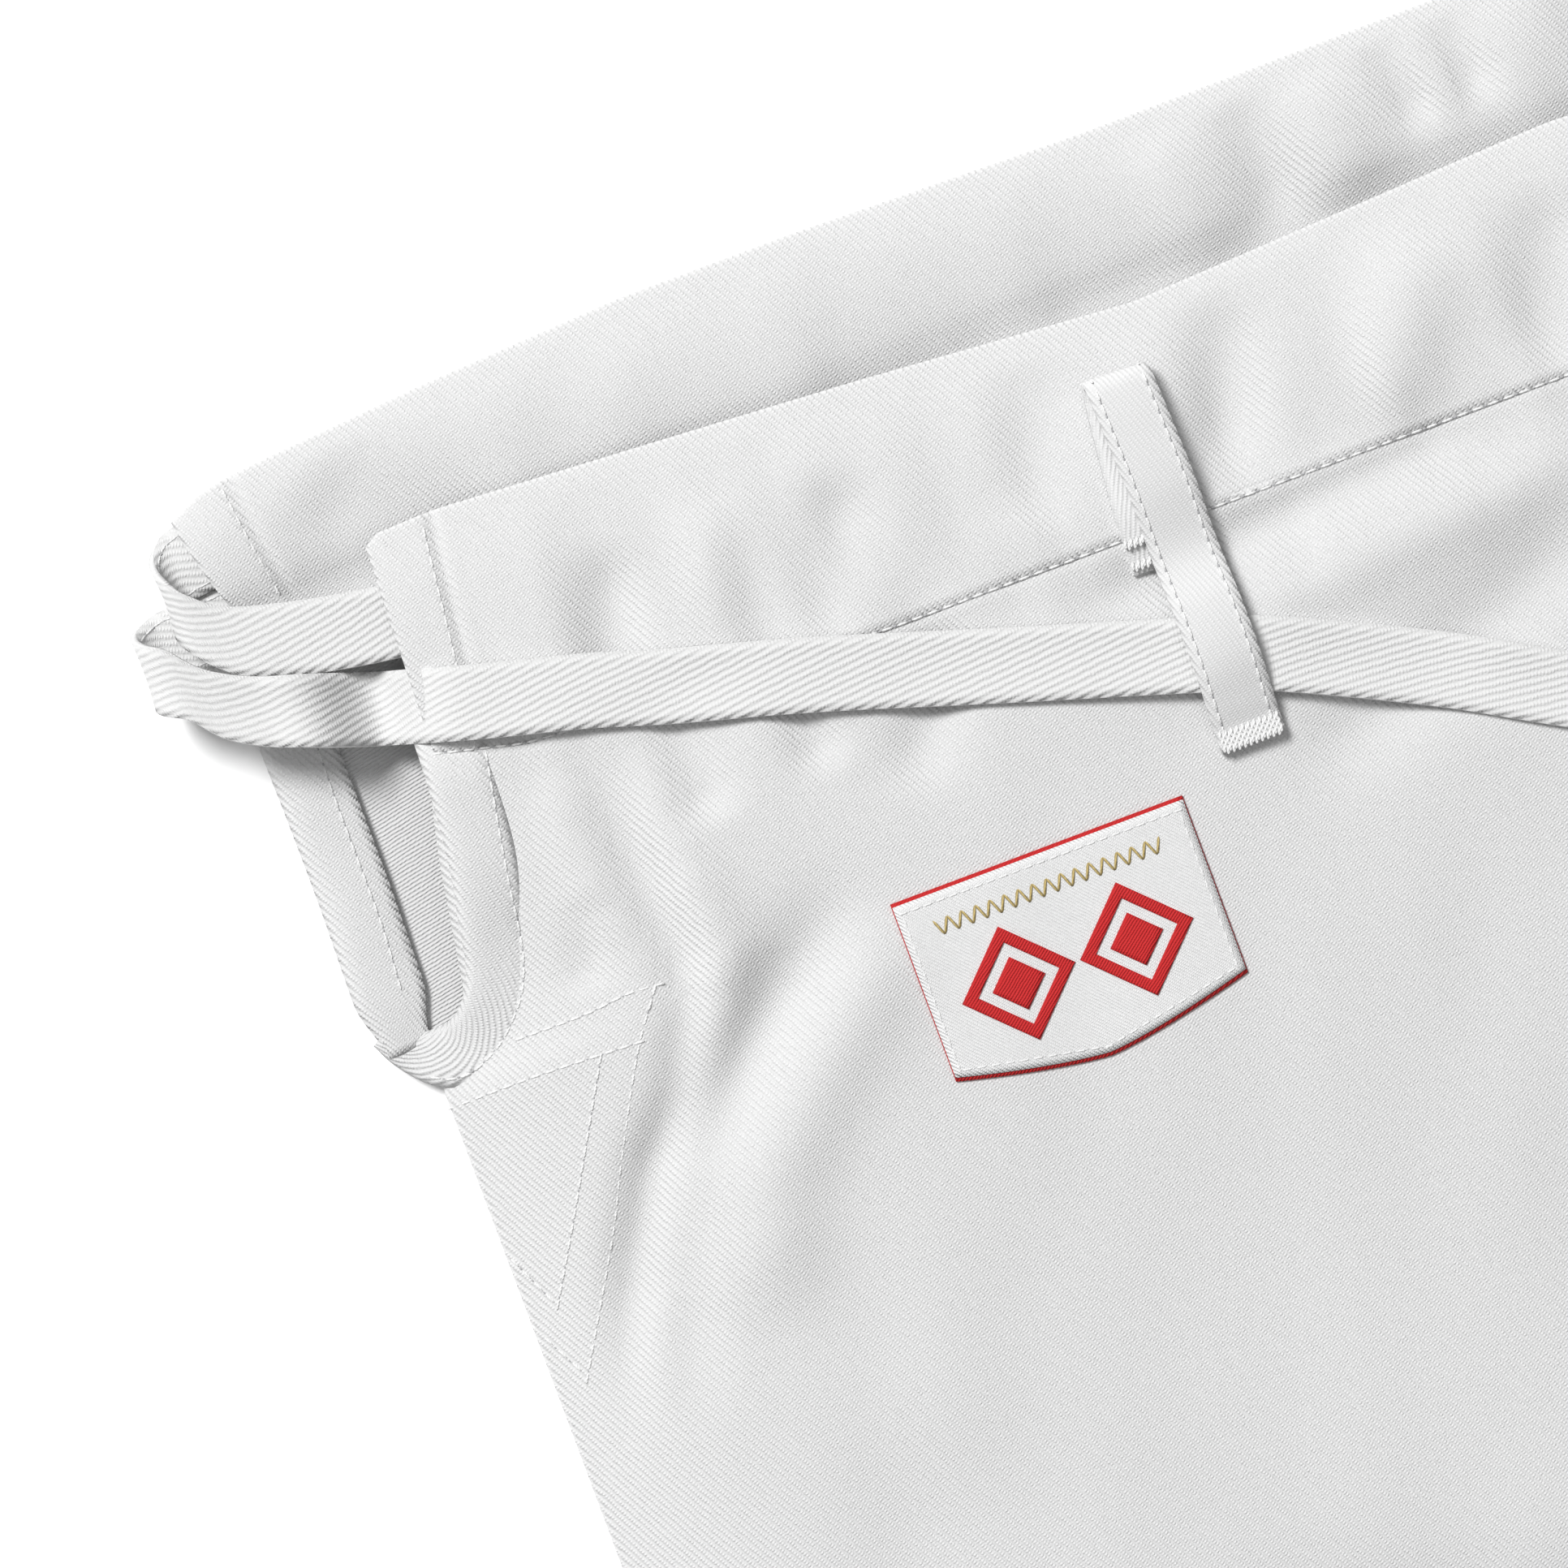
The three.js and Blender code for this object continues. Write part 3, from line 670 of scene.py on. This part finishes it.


# %% [markdown]
# ## Thread
# A lockstitch shows as a row of small, slightly raised dashes. Each stitch is one little closed bead, made
# once and copied along the seam, because a row drawn only in a material would vanish in a raking light.
# Between the stitches sit small dark beads, painted shade in the needle holes.

# %% Stitches
RING = 6
bead_angle = np.linspace(0, 2 * math.pi, RING, endpoint=False)
bead_rings = [(-1.0, 0.35), (-0.62, 1.0), (0.62, 1.0), (1.0, 0.35)]
BEAD = np.array([[x, r * math.cos(a), r * math.sin(a)] for x, r in bead_rings for a in bead_angle])
BEAD_FACES = [[k * RING + i, k * RING + (i + 1) % RING, (k + 1) * RING + (i + 1) % RING, (k + 1) * RING + i]
              for k in range(3) for i in range(RING)]
BEAD_CAPS = [list(range(RING))[::-1], [3 * RING + i for i in range(RING)]]
UP = (0, 0, 1)


def stitch_piece(name, rows, size=(1.15, 0.26, 0.3), holes=(0.36, 0.26, 0.16), thread=None):
    """One mesh of beads with small dark beads of painted shade at the needle holes between. rows holds
    (centres, along, up); sizes are half sizes.
    """
    points, faces, uvs, finishes, start = [], [], [], [], 0
    for centre, along, up in rows:
        along = np.broadcast_to(along, centre.shape)
        along = along / np.linalg.norm(along, axis=1)[:, None]
        across = np.cross(up, along)
        across /= np.linalg.norm(across, axis=1)[:, None]
        up = np.cross(along, across)
        kinds = [(centre, along, across, up, size, 0)]
        # painted shade: small dark beads, sunk a little, in the needle holes between the stitches
        if holes:
            middle = (centre[1:] + centre[:-1]) / 2 - 0.06 * MM * up[1:]
            kinds.append((middle, along[1:], across[1:], up[1:], holes, 1))
        for places, forward, sideways, upward, half_size, finish in kinds:
            scaled = BEAD * np.array(half_size) * MM
            placed = (places[:, None] + scaled[None, :, 0:1] * forward[:, None]
                      + scaled[None, :, 1:2] * sideways[:, None] + scaled[None, :, 2:3] * upward[:, None])
            for bead in placed:
                points.append(bead)
                faces += [[start + i for i in f] for f in BEAD_FACES + BEAD_CAPS]
                uvs += [scaled[i, :2] for f in BEAD_FACES + BEAD_CAPS for i in f]
                finishes += [finish] * len(BEAD_FACES + BEAD_CAPS)
                start += len(BEAD)
    materials = [thread or thread_white] + ([needle_hole_shade] if holes else [])
    piece = new_piece(name, np.vstack(points), faces, uvs, *materials)
    piece.data.polygons.foreach_set("material_index", finishes)
    return piece


def seam(tree, side, line, pitch=3.1, sink=0.02):
    """Stitch places along a line of (out, drop) on the surface below."""
    flat = smooth_route([(o, d, 0.0) for o, d in line], pitch)
    z = height_on(tree, side, flat[:, 0], flat[:, 1]) - sink
    centre = to_row(side, flat[:, 0], flat[:, 1], relax(z, 1))
    return centre, np.gradient(centre, axis=0), UP


def band_seam(grid, offset, end=0.0):
    """Stitch places along a band, offset in mm from its middle, that stop short of its end by end mm."""
    length = grid["length"]
    pitch = 3.0 * MM
    at = np.arange(pitch / 2, length[-1] - end * MM, pitch)
    column = (offset * MM / grid["half"] + 1) / 2 * (grid["points"].shape[1] - 1)
    low, part = int(column), column - int(column)
    line = grid["points"][:, low] * (1 - part) + grid["points"][:, low + 1] * part
    line = line + grid["face"] * (grid["thick"] / 2 + 0.03) * MM
    centre = sample(at, length, line)
    return centre, np.gradient(centre, axis=0), sample(at, length, grid["face"])


def overlay(name, side, out, drop, tree, lift, material, thick=0.9, edge=0.35):
    """A piece of cloth laid on another one: a grid of (out, drop), with its edges pressed down a little."""
    z = height_on(tree, side, out, drop)
    for _ in range(2):
        z[1:-1] = (z[:-2] + 2 * z[1:-1] + z[2:]) / 4
        z[:, 1:-1] = (z[:, :-2] + 2 * z[:, 1:-1] + z[:, 2:]) / 4
    z = z + lift
    z[0], z[-1], z[:, 0], z[:, -1] = z[0] - edge, z[-1] - edge, z[:, 0] - edge, z[:, -1] - edge
    uv = weave_map(side * out, drop)
    return cloth_grid(name, to_row(side, out, drop, z), uv, material, thick=thick)


BODY = "hips_and_thighs"


def settle(piece, *nodes, body=BODY, knee=None, slot="drill_white"):
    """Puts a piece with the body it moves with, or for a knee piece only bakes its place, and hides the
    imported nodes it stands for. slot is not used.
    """
    if knee:
        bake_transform(piece)
    else:
        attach(piece, body)
    if nodes:
        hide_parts(*nodes)
    return piece


def sew(name, rows, *sizes, nodes=(), **moves):
    """Stitches in white thread, settled; sizes are those of stitch_piece, moves are body or knee."""
    return settle(stitch_piece(name, rows, *sizes), *nodes, slot="thread_white", **moves)


LEG_PARTS = ("thigh_front", "thigh_back", "shin_front", "shin_back")
for name, cloth in legs.items():
    settle(cloth, *(f"{name}_{part}" for part in LEG_PARTS), knee=name)
settle(front_casing, "front_casing")
settle(back_casing, "back_casing")
upper = surface_of(*legs.values(), front_casing)
back_face = surface_of(back_casing)

# %% [markdown]
# ## Ends of the casings
# Each mouth is hemmed: the cloth is turned back about 12 mm and stitched, so the last stretch is thicker.
# The step is part of the casing's shape above; here comes its row of stitches.

# %% Stitches of the hemmed mouths
hem_rows = []
for side in SIDES.values():
    hem_rows.append(seam(upper, side, [(front_hem_line(d) + 1.7, d) for d in (31, 45, 60, 74)], 3.0))
    hem_rows.append(seam(back_face, side, [(back_hem_line(d) + 1.5, d) for d in (9, 18, 26, 31)], 3.0))
sew("mouth_hem_stitches", hem_rows)

# %% [markdown]
# ## Side slits
# The slit at each hip is bound with drill: one strip goes down the front's edge and round the bottom, and
# a second one lies along the edge of the back. Both are bands, so they turn without a mitre.

# %% Slit bindings
front_strip = [(249, 68.5), (249.3, 80), (251, 97), (253.4, 108), (255, 116), (258.0, 123), (262.4, 128.2),
               (268.5, 131.0), (275.0, 130.0), (280.5, 126.4), (283.2, 122.4)]
front_row = [(242.9, 77.3), (245, 88.4), (247.5, 102.2), (249.3, 113.4), (250.7, 118.9), (253, 123.9),
             (256.5, 128.2), (261.3, 132.4), (267.7, 135.4), (272.4, 135.6), (275.9, 134.2)]
back_row = [(275.0, 62), (275.3, 76), (275.3, 100), (276.2, 114)]
back_strip = [(278.8, 47.5), (278.6, 60), (278.4, 90), (278.8, 110), (279.0, 120), (278.6, 127)]
slit_seams = []
bindings = {}
for name, side in SIDES.items():
    flat = smooth_route([(o, d, 0.0) for o, d in back_strip])
    flat[:, 2] = relax(height_on(ground, side, flat[:, 0] - 3, flat[:, 1], 1.2) + 0.95, 10)
    behind, _ = band(name + "_slit_binding_back", side, flat, 14.6, 1.5, drill, crown=0.5, ripple=0.5,
                     seed=5, sink=(0.0, 0.8), taper=(0.84, 0.6))
    settle(behind, name + "_slit_back_facing")
    flat = smooth_route([(o, d, 0.0) for o, d in front_strip])
    z = relax(height_on(ground, side, flat[:, 0], flat[:, 1], 1.2) + 0.7, 8)
    bottom = smooth((flat[:, 1] - 112) / 12)
    lowest = 4.6 - 3.6 * smooth((flat[:, 0] - 272) / 11)
    flat[:, 2] = relax(z * (1 - bottom) + np.maximum(z, lowest) * bottom, 6)
    piece, _ = band(name + "_slit_binding", side, flat, 13.0, 1.7, drill, crown=0.35, ripple=0.6,
                    seed=3, sink=(1.0, 0.6), taper=(0.8, 0.35))
    settle(piece, name + "_slit_front_facing")
    bindings[name] = piece
    bindings[name + "_back"] = behind
    bound = surface_of(piece, behind, legs[name])
    slit_seams += [seam(bound, side, front_row), seam(bound, side, back_row)]
sew("slit_stitches", slit_seams)
on_front = surface_of(*legs.values(), *bindings.values(), front_casing)

# %% [markdown]
# ## Hip patches
# A three-sided patch behind each hip takes the strain at the foot of the slit. It lies inside, so only its
# two rows of stitching show.

# %% Hip patches and their stitching
patch_rows = []
for name, side in SIDES.items():
    v = np.linspace(0, 1, 26)[:, None]
    u = np.linspace(0, 1, 16)[None, :]
    drop = 131 + 71 * v + 0 * u
    left = np.interp(drop, [131, 175, 202], [227, 252, 267])
    out = left + (271 - left) * u
    z = height_on(ground, side, out, drop) - 1.3
    uv = weave_map(side * out, drop)
    patch = cloth_grid(name + "_hip_patch_inside", to_row(side, out, drop, z), uv, drill, thick=0.8)
    settle(patch, name + "_hip_patch")
    for line in ([(256.7, 132.5), (242.4, 132.4), (233.3, 131.5), (226.6, 131.9)],
                 [(275, 141.0), (257.3, 140.6), (242.5, 141.0), (234.3, 141.3)],
                 [(227.8, 132.6), (235.4, 143.3), (246.3, 162.9), (253.2, 176.2), (268.2, 201.4)],
                 [(242.7, 141.7), (252.7, 158.9), (260.3, 171.9), (268.6, 185.5)],
                 [(274, 174.7), (269.6, 183.8)], [(275.0, 188.5), (269.4, 198.6)]):
        patch_rows.append(seam(ground, side, line, 3.0))
sew("hip_patch_stitches", patch_rows)

# %% Stitches under the front casing
front_line = [(o, casing_line(abs(o)) - 0.4) for o in np.linspace(-252, 252, 60)]
sew("front_casing_stitches", [seam(upper, 1, front_line, 3.2, -0.04)])

# %% [markdown]
# ## Drawcord
# The cord is a flat strip of twill, stitched near its edges. It leaves the back casing at each hip twice:
# an inner loop goes straight into the front casing, and an outer one carries on across the front, through
# the belt loop. The two outer ends cross at the middle, and the right one lies on top. The strips inside
# the casings are the same tape.

# %% Routes of the cord
TAPE_WIDTH, TAPE_THICK, TAPE_ROWS = 15, 1.3, (5.4, -5.9)


def hip_turn(reach, z_from, z_to, drop_from, drop_to, drop_in):
    """Half a turn at the hip, from inside the back casing up to the level of the front."""
    radius = (z_to - z_from) / 2
    points = [(268, drop_in, z_from, 90), (282, drop_from - 1, z_from, 90)]
    for t in np.linspace(0, 1, 7):
        a = math.pi * t
        points.append((reach - radius + radius * math.sin(a), drop_from + (drop_to - drop_from) * t**1.3,
                       z_from + radius * (1 - math.cos(a)), 90))
    return points


def free_end(side, z_from, lift):
    """Round the hip, along the front under the belt loop, over the middle and down; laid on the cloth."""
    laid = [(255, 62.2), (240.8, 66.5), (220, 72), (204, 77), (176, 85), (140, 96.5), (105, 107.5),
            (88, 113.5), (60, 127), (37, 140), (0, 160), (-28, 183), (-43, 215), (-46, 260), (-45, 320)]
    turns = [100, 100, 100, 100, 100, 100, 109, 113, 115, 117, 120, 135, 160, 178, 180]
    route = hip_turn(301.8, z_from, 15.6, 34, 42.5, 33) + [(290, 48.6, 16.0, 90), (281.5, 53.4, 16.2, 90),
                                                            (271, 57.0, 16.4, 93)]
    route += [(o, d, 0.0, a) for (o, d), a in zip(laid, turns)]
    line = smooth_route(route)
    flat = np.arange(len(line)) >= next(i for i in range(len(line)) if i > 40 and line[i, 0] < 256)
    under = height_on(on_front, side, line[:, 0], line[:, 1])
    wide = 5.0 * np.sin(np.radians(line[:, 3]))
    for step in (-1, 1):
        under = np.maximum(under, height_on(on_front, side, line[:, 0], line[:, 1] + step * wide) - 0.5)
    under = np.max([np.roll(under, k) for k in range(-4, 5)], axis=0)
    crossing = np.exp(-((line[:, 0] / 17) ** 2)) * lift + 1.5 * np.exp(-(((line[:, 0] - 251) / 7) ** 2))
    line[flat, 2] = (under + TAPE_THICK / 2 + 0.45 + crossing)[flat]
    start = int(np.argmax(flat)) - 12
    line[start:, 2] = relax(line[start:, 2], 30)
    return line


# %% Free ends
cord_seams = []
for name, side, z_from, lift in (("left", 1, 4.6, 0.0), ("right", -1, 3.2, 2.6)):
    line = free_end(side, z_from, lift)
    piece, frame_of = band(name + "_drawcord", side, line, TAPE_WIDTH, TAPE_THICK, tape_twill,
                           crown=0.35, ripple=0.4, seed=7 + side)
    settle(piece, name + "_drawcord_end", slot="tape_cotton")
    cord_seams += [band_seam(frame_of, offset) for offset in TAPE_ROWS]
    tip_line = np.array([[-45 - 0.1 * k, 318 + k * 1.5, 0.0, 180] for k in range(10)], float)
    tip_line[:, 2] = line[-1, 2] + 0.25
    tip, _ = band(name + "_drawcord_tip_fold", side, tip_line, TAPE_WIDTH + 0.4, 2.4, tape_twill, crown=0.3)
    settle(tip, name + "_drawcord_tip", slot="thread_white")
    tip_row = to_row(side, np.linspace(-51, -39, 12), 320.5, line[-1, 2] + 1.75)
    cord_seams.append((tip_row, (1, 0, 0), UP))

# %% Inner loops and the runs inside the casings
def inner_half(z_from):
    """From inside the back casing, round the hip and along the front casing to its middle."""
    points = hip_turn(292.8, z_from, 12.6, 19.5, 33.0, 18)
    points += [(283, 37.6, 12.6, 90), (276, 40.2, 12.5, 90), (267.5, 42.4, 12.2, 92), (258, 44.2, 11.8, 95),
               (246, 45.8, 11.2, 95), (230, 47.4, 10.9, 95), (205, 49.4, 10.8, 94), (168, 52.0, 10.8, 93),
               (126, 54.5, 10.8, 91), (62, 55.8, 10.8, 90)]
    return points


left_half, right_half = inner_half(3.0), inner_half(4.2)
whole = left_half + [(0, 56, 10.8, 90)] + [(-o, d, z, 180 - a) for o, d, z, a in right_half[::-1]]
loop, loop_frame = band("drawcord_front_run", 1, smooth_route(whole), TAPE_WIDTH, TAPE_THICK, tape_twill,
                        crown=0.35, ripple=0.3)
settle(loop, "drawcord_front", slot="tape_cotton")
cord_seams += [band_seam(loop_frame, offset) for offset in TAPE_ROWS]
for node, z, right_drop, left_drop in (("low", 2.2, 33, 17), ("high", 3.4, 17, 33)):
    run = smooth_route([(-267, right_drop, z), (0, 24, z), (267, left_drop, z)], 6)
    piece, _ = band("drawcord_run_" + node, 1, run, TAPE_WIDTH, 1.0, tape_twill, crown=0)
    settle(piece, "drawcord_back_" + node, slot="tape_cotton")
sew("drawcord_stitches", cord_seams, (1.2, 0.2, 0.17), (0.3, 0.16, 0.1))

# %% [markdown]
# ## Belt loops
# A belt loop is a folded strip sewn on at the casing's seam, taken up, folded and brought down over the
# cord, where a bar tack holds its end.

# %% Belt loops
# Each row: out and drop, the place whose ground it is measured from, the height above that, and the turn.
LOOP_ROUTE = [
    (102.8, 89, 103, 89, 0.9, 2), (102.6, 78, 103, 78, 1.2, 2), (101.4, 66, 101, 66, 1.2, 4),
    (100.2, 56, 100, 56, 1.3, 4), (99.5, 51.8, 100, 52, 1.9, 3), (99.3, 50.2, 99, 52, 3.0, 1),
    (99.2, 51.2, 99, 53, 4.3, 0), (99.1, 54.4, 99, 54, 4.9, 0), (98.9, 62, 99, 62, 4.5, 0),
    (98.6, 74, 99, 74, 3.9, 0), (98.6, 88, 99, 88, 3.9, 0), (98.6, 99, 99, 99, 4.0, 0),
    (98.7, 110, 99, 110, 4.1, 0), (98.9, 119, 99, 119, 3.2, 0), (99.0, 124, 99, 124, 1.7, 0),
    (99.0, 128, 99, 128, 1.3, 0)]
LOOP_WIDTH = 13.5
TACK_COUNT = 21


def ground_z(side, out, drop):
    return float(height_on(upper, side, [out], [drop])[0])


def tack_row(side, out, drop, z):
    """A dense zigzag row across the belt loop."""
    across = np.linspace(-6.0, 6.0, TACK_COUNT)
    centre = to_row(side, out + across, drop + 0.5 * (np.arange(TACK_COUNT) % 2), z)
    return centre, (0.25, 1, 0), UP


loop_seams, tacks = [], []
for name, side in SIDES.items():
    route = [(o, d, ground_z(side, at_out, at_drop) + above, turn)
             for o, d, at_out, at_drop, above, turn in LOOP_ROUTE]
    piece, loop_grid = band(name + "_belt_loop_strip", side, smooth_route(route, 1.2), LOOP_WIDTH, 1.7,
                            loop_twill, crown=0.25, ripple=0.25, seed=21)
    settle(piece, name + "_belt_loop")
    for offset in (5.0, -5.0):
        loop_seams.append(band_seam(loop_grid, offset, 3))
    for shift in (0.0, 1.3, 2.6):
        tacks.append(tack_row(side, 99, 124.6 + shift, ground_z(side, 99, 126) + 2.7))
    for drop in (82.5, 87):
        tacks.append(tack_row(side, 103.2, drop, ground_z(side, 104, drop) + 2.15))
sew("belt_loop_stitches", loop_seams)
sew("belt_loop_bar_tacks", tacks, (0.9, 0.33, 0.3), None, nodes=("left_bar_tack", "right_bar_tack"))

# %% [markdown]
# ## Label
# A woven label sits below the belt loop on the wearer's right. Its ground is a white damask, its cut edges
# show the red warp, and its figure is plain lozenges and a gold line.

# %% Label finishes
label_white = weave("label_white", (0.76, 0.76, 0.76), rib=0.62, slant=48, thread=0.42, depth=0.22,
                    roughness=0.5)
label_red = weave("label_red", (0.60, 0.018, 0.02), rib=0.55, slant=-38, thread=0.5, depth=0.2, shade=0.45,
                  roughness=0.7, sheen=0.03)
label_gold = weave("label_gold", (0.62, 0.47, 0.17), rib=0.6, slant=8, thread=0.8, depth=0.22, shade=0.75,
                   roughness=0.35)

# %% Label pieces
LABEL = dict(out=147, drop=133, half=31, side=37.5, point=6.0)


def label_grid(inset_top, inset_side, inset_foot, columns=43, rows=31):
    u = np.linspace(-1, 1, columns)[None, :]
    v = np.linspace(0, 1, rows)[:, None]
    out = LABEL["out"] - u * (LABEL["half"] - inset_side) + 0 * v
    length = LABEL["side"] + LABEL["point"] * (1 - np.abs(u) ** 1.35) - inset_top - inset_foot
    return out, LABEL["drop"] + inset_top + v * length


leg_front = surface_of(legs["right"])
backing = overlay("label_backing_cloth", -1, *label_grid(0, 0, 0), leg_front, 0.42, label_red, 0.4, edge=0.12)
settle(backing, "label_backing", slot="label_red")
white_face = overlay("label_woven_face", -1, *label_grid(0.8, 0.2, 0.8), leg_front, 0.80, label_white, 0.4,
                     edge=0.18)
settle(white_face, "label_face", slot="label_white")
on_label = surface_of(white_face)


def lozenge(name, out, drop, outer_size, inner_size):
    """A red ring with four corners, laid on the label."""
    corners = [(1, 0), (0, 1), (-1, 0), (0, -1), (1, 0)]
    sides = [np.linspace(a, b, 7, endpoint=False) for a, b in zip(corners[:-1], corners[1:])]
    edge = np.vstack(sides + [corners[-1:]])
    rings = np.linspace(outer_size, inner_size, 5)[:, None]
    o = out + rings * edge[None, :, 0]
    d = drop + rings * edge[None, :, 1]
    z = height_on(on_label, -1, o, d) + 0.12
    uv = weave_map(-o, d)
    return cloth_grid(name, to_row(-1, o, d, z), uv, label_red, thick=0.3, weld=True)


FIGURE_DROP, GOLD_DROP = 156.5, 140.6
figure = []
for k, out in enumerate((159.5, 134.5)):
    figure.append(lozenge(f"label_lozenge_{k}", out, FIGURE_DROP, 12.0, 8.6))
    figure.append(lozenge(f"label_heart_{k}", out, FIGURE_DROP, 5.6, 0.0))
for piece in figure:
    settle(piece, slot="label_red")
o = np.arange(170.5, 123, -1.5)
d = np.full(len(o), GOLD_DROP)
centre = to_row(-1, o, d, height_on(on_label, -1, o, d) + 0.08)
lean = np.where(np.arange(len(o)) % 2, 0.42, -0.42)
zigzag = [(centre, np.stack([lean, np.ones(len(o)), 0 * o], axis=1), UP)]
settle(stitch_piece("label_gold_zigzag", zigzag, (1.75, 0.3, 0.2), None, label_gold), slot="label_white")
rows = [seam(on_label, -1, line, 2.6) for line in (
    [(176.2, 135.6), (117.8, 135.6)], [(176.4, 137.5), (176.4, 168.0)], [(117.6, 137.5), (117.6, 168.0)],
    [(175, 169.0), (147, 174.6)], [(147, 174.6), (119, 169.0)])]
sew("label_stitches", rows, (0.95, 0.2, 0.2), (0.24, 0.15, 0.1))

# %% [markdown]
# ## Knees, hems, gusset and the middle seams
# These follow the usual making of judo trousers: a second layer over each knee, a turned hem, a diamond
# gusset folded under the crotch and a felled seam down the middle.

# %% Knee patches
PATCH_TOP, PATCH_FOOT, PATCH_INSET = 440, 720, 6
for name, side in SIDES.items():
    v = np.linspace(0, 1, 88)[:, None]
    u = np.linspace(0, 1, 64)[None, :]
    drop = PATCH_TOP + (PATCH_FOOT - PATCH_TOP) * v + 0 * u
    low, high = inner(drop) + PATCH_INSET, outer(drop) - PATCH_INSET
    out = low + (high - low) * u
    tree = surface_of(legs[name])
    patch = overlay(name + "_knee_patch", side, out, drop, tree, 0.95, drill)
    settle(patch, name + "_knee_patch_upper", name + "_knee_patch_lower", knee=name)
    on_patch = surface_of(patch)
    rows = []
    for inset in (2.5, 8.5):
        top, foot, across = PATCH_TOP + inset, PATCH_FOOT - inset, PATCH_INSET + inset
        corners = [(inner(PATCH_TOP) + across, top), (outer(PATCH_TOP) - across, top),
                   (outer(PATCH_FOOT) - across, foot), (inner(PATCH_FOOT) + across, foot)]
        for a, b in zip(corners, corners[1:] + corners[:1]):
            rows.append(seam(on_patch, side, [a, b]))
    for quilt in (500, 533, 567, 600, 633, 667):
        rows.append(seam(on_patch, side, [(inner(quilt) + 16, quilt), (outer(quilt) - 16, quilt)]))
    sew(name + "_knee_stitches", rows, knee=name)

# %% Hems
HEM_STITCH = 943
for seed, (name, side) in enumerate(SIDES.items()):
    drop = np.linspace(HEM - HEM_DEPTH, HEM, 12)[:, None]
    t = np.linspace(0, 1, 70)[None, :]
    out_f = inner(drop) + (outer(drop) - 2 - inner(drop)) * t
    z_f = front_height(out_f, drop, seed) + 0.4
    roll = np.radians([30, 60, 90, 120, 150])[None, :]
    middle, radius = (z_f[:, -1:] + 1.3) / 2, (z_f[:, -1:] - 1.3) / 2
    out_s = outer(drop) - 2 + 2.0 * np.sin(roll)
    z_s = middle + radius * np.cos(roll)
    u = np.linspace(1, 0, 30)[None, :]
    out_b = inner(drop) + (outer(drop) - 2 - inner(drop)) * u
    z_b = 1.1 + 0.0 * out_b
    out_e = inner(drop) - 1.6 * np.sin(roll)
    z_e = (z_f[:, :1] + 1.1) / 2 - (z_f[:, :1] - 1.1) / 2 * np.cos(roll)
    out_all = np.concatenate([out_f, out_s, out_b, out_e, out_f[:, :1]], axis=1)
    z_all = np.concatenate([z_f, z_s, z_b, z_e, z_f[:, :1]], axis=1)
    around = np.cumsum(np.abs(np.diff(out_all, axis=1, prepend=out_all[:, :1])), axis=1)
    uv = weave_map(side * around, drop)
    hem = cloth_grid(name + "_hem_fold", to_row(side, out_all, drop, z_all), uv, drill, thick=1.8, weld=True)
    settle(hem, name + "_hem", body=name + "_lower_leg")
    tree = surface_of(hem)
    line = [(inner(HEM_STITCH) + 4, HEM_STITCH), (160, HEM_STITCH), (outer(HEM_STITCH) - 4, HEM_STITCH)]
    sew(name + "_hem_stitches", [seam(tree, side, line)], body=name + "_lower_leg")

# %% Gusset
drop_f = np.linspace(GUSSET_TOP + 2, CROTCH, 36)
roll = np.radians([45, 90, 135])
edge_z = front_height(np.interp(drop_f, [GUSSET_TOP, CROTCH], [0.6, 26]), drop_f)
line_drop = np.concatenate([drop_f, CROTCH + 2.0 * np.sin(roll), drop_f[::-1]])
fold_z = (edge_z[-1] + 1) / 2 + (edge_z[-1] - 1) / 2 * np.cos(roll)
line_z = np.concatenate([edge_z + 0.1, fold_z, 1.0 + 0 * drop_f])
half = np.interp(line_drop, [GUSSET_TOP, CROTCH], [1.0, 26.8])
u = np.linspace(-1, 1, 15)[None, :]
out = half[:, None] * u
along = np.concatenate([[0], np.cumsum(np.hypot(np.diff(line_drop), np.diff(line_z)))])
uv = weave_map(out, along[:, None])
gusset = cloth_grid("gusset_cloth", to_row(1, out, line_drop[:, None], line_z[:, None] + 0 * out), uv, drill)
settle(gusset, "crotch_gusset")

# %% Middle seams
u = np.linspace(-5, 5, 9)[None, :]
drop = np.linspace(83.5, GUSSET_TOP, 80)[:, None] + 0 * u
out = np.zeros_like(drop) + u
ridge_z = relax(height_on(ground, 1, np.full(80, 1.5), drop[:, 0]), 3)[:, None]
z = ridge_z + 0.85 - 0.35 * (np.abs(u) > 4.5)
uv = weave_map(out, drop)
felled_front = cloth_grid("front_felled_seam", to_row(1, out, drop, z), uv, drill, thick=0.8)
settle(felled_front, "centre_front_seam")
drop = np.linspace(49, GUSSET_TOP, 40)[:, None] + 0 * u
out = np.zeros_like(drop) + u
uv = weave_map(out, drop)
felled_back = cloth_grid("back_felled_seam", to_row(1, out, drop, 1.9), uv, drill, thick=0.8)
settle(felled_back, "centre_back_seam")
tree = surface_of(felled_front)
rows = [seam(tree, 1, [(o, 85), (o, 180), (o, 283)]) for o in (-3.4, 3.4)]
for side in (1, -1):
    for inset in (3.5, 9.5):
        rows.append(seam(ground, side, [(inner(d) + inset, d) for d in (292, 320, 350, 374)]))
sew("middle_seam_stitches", rows)
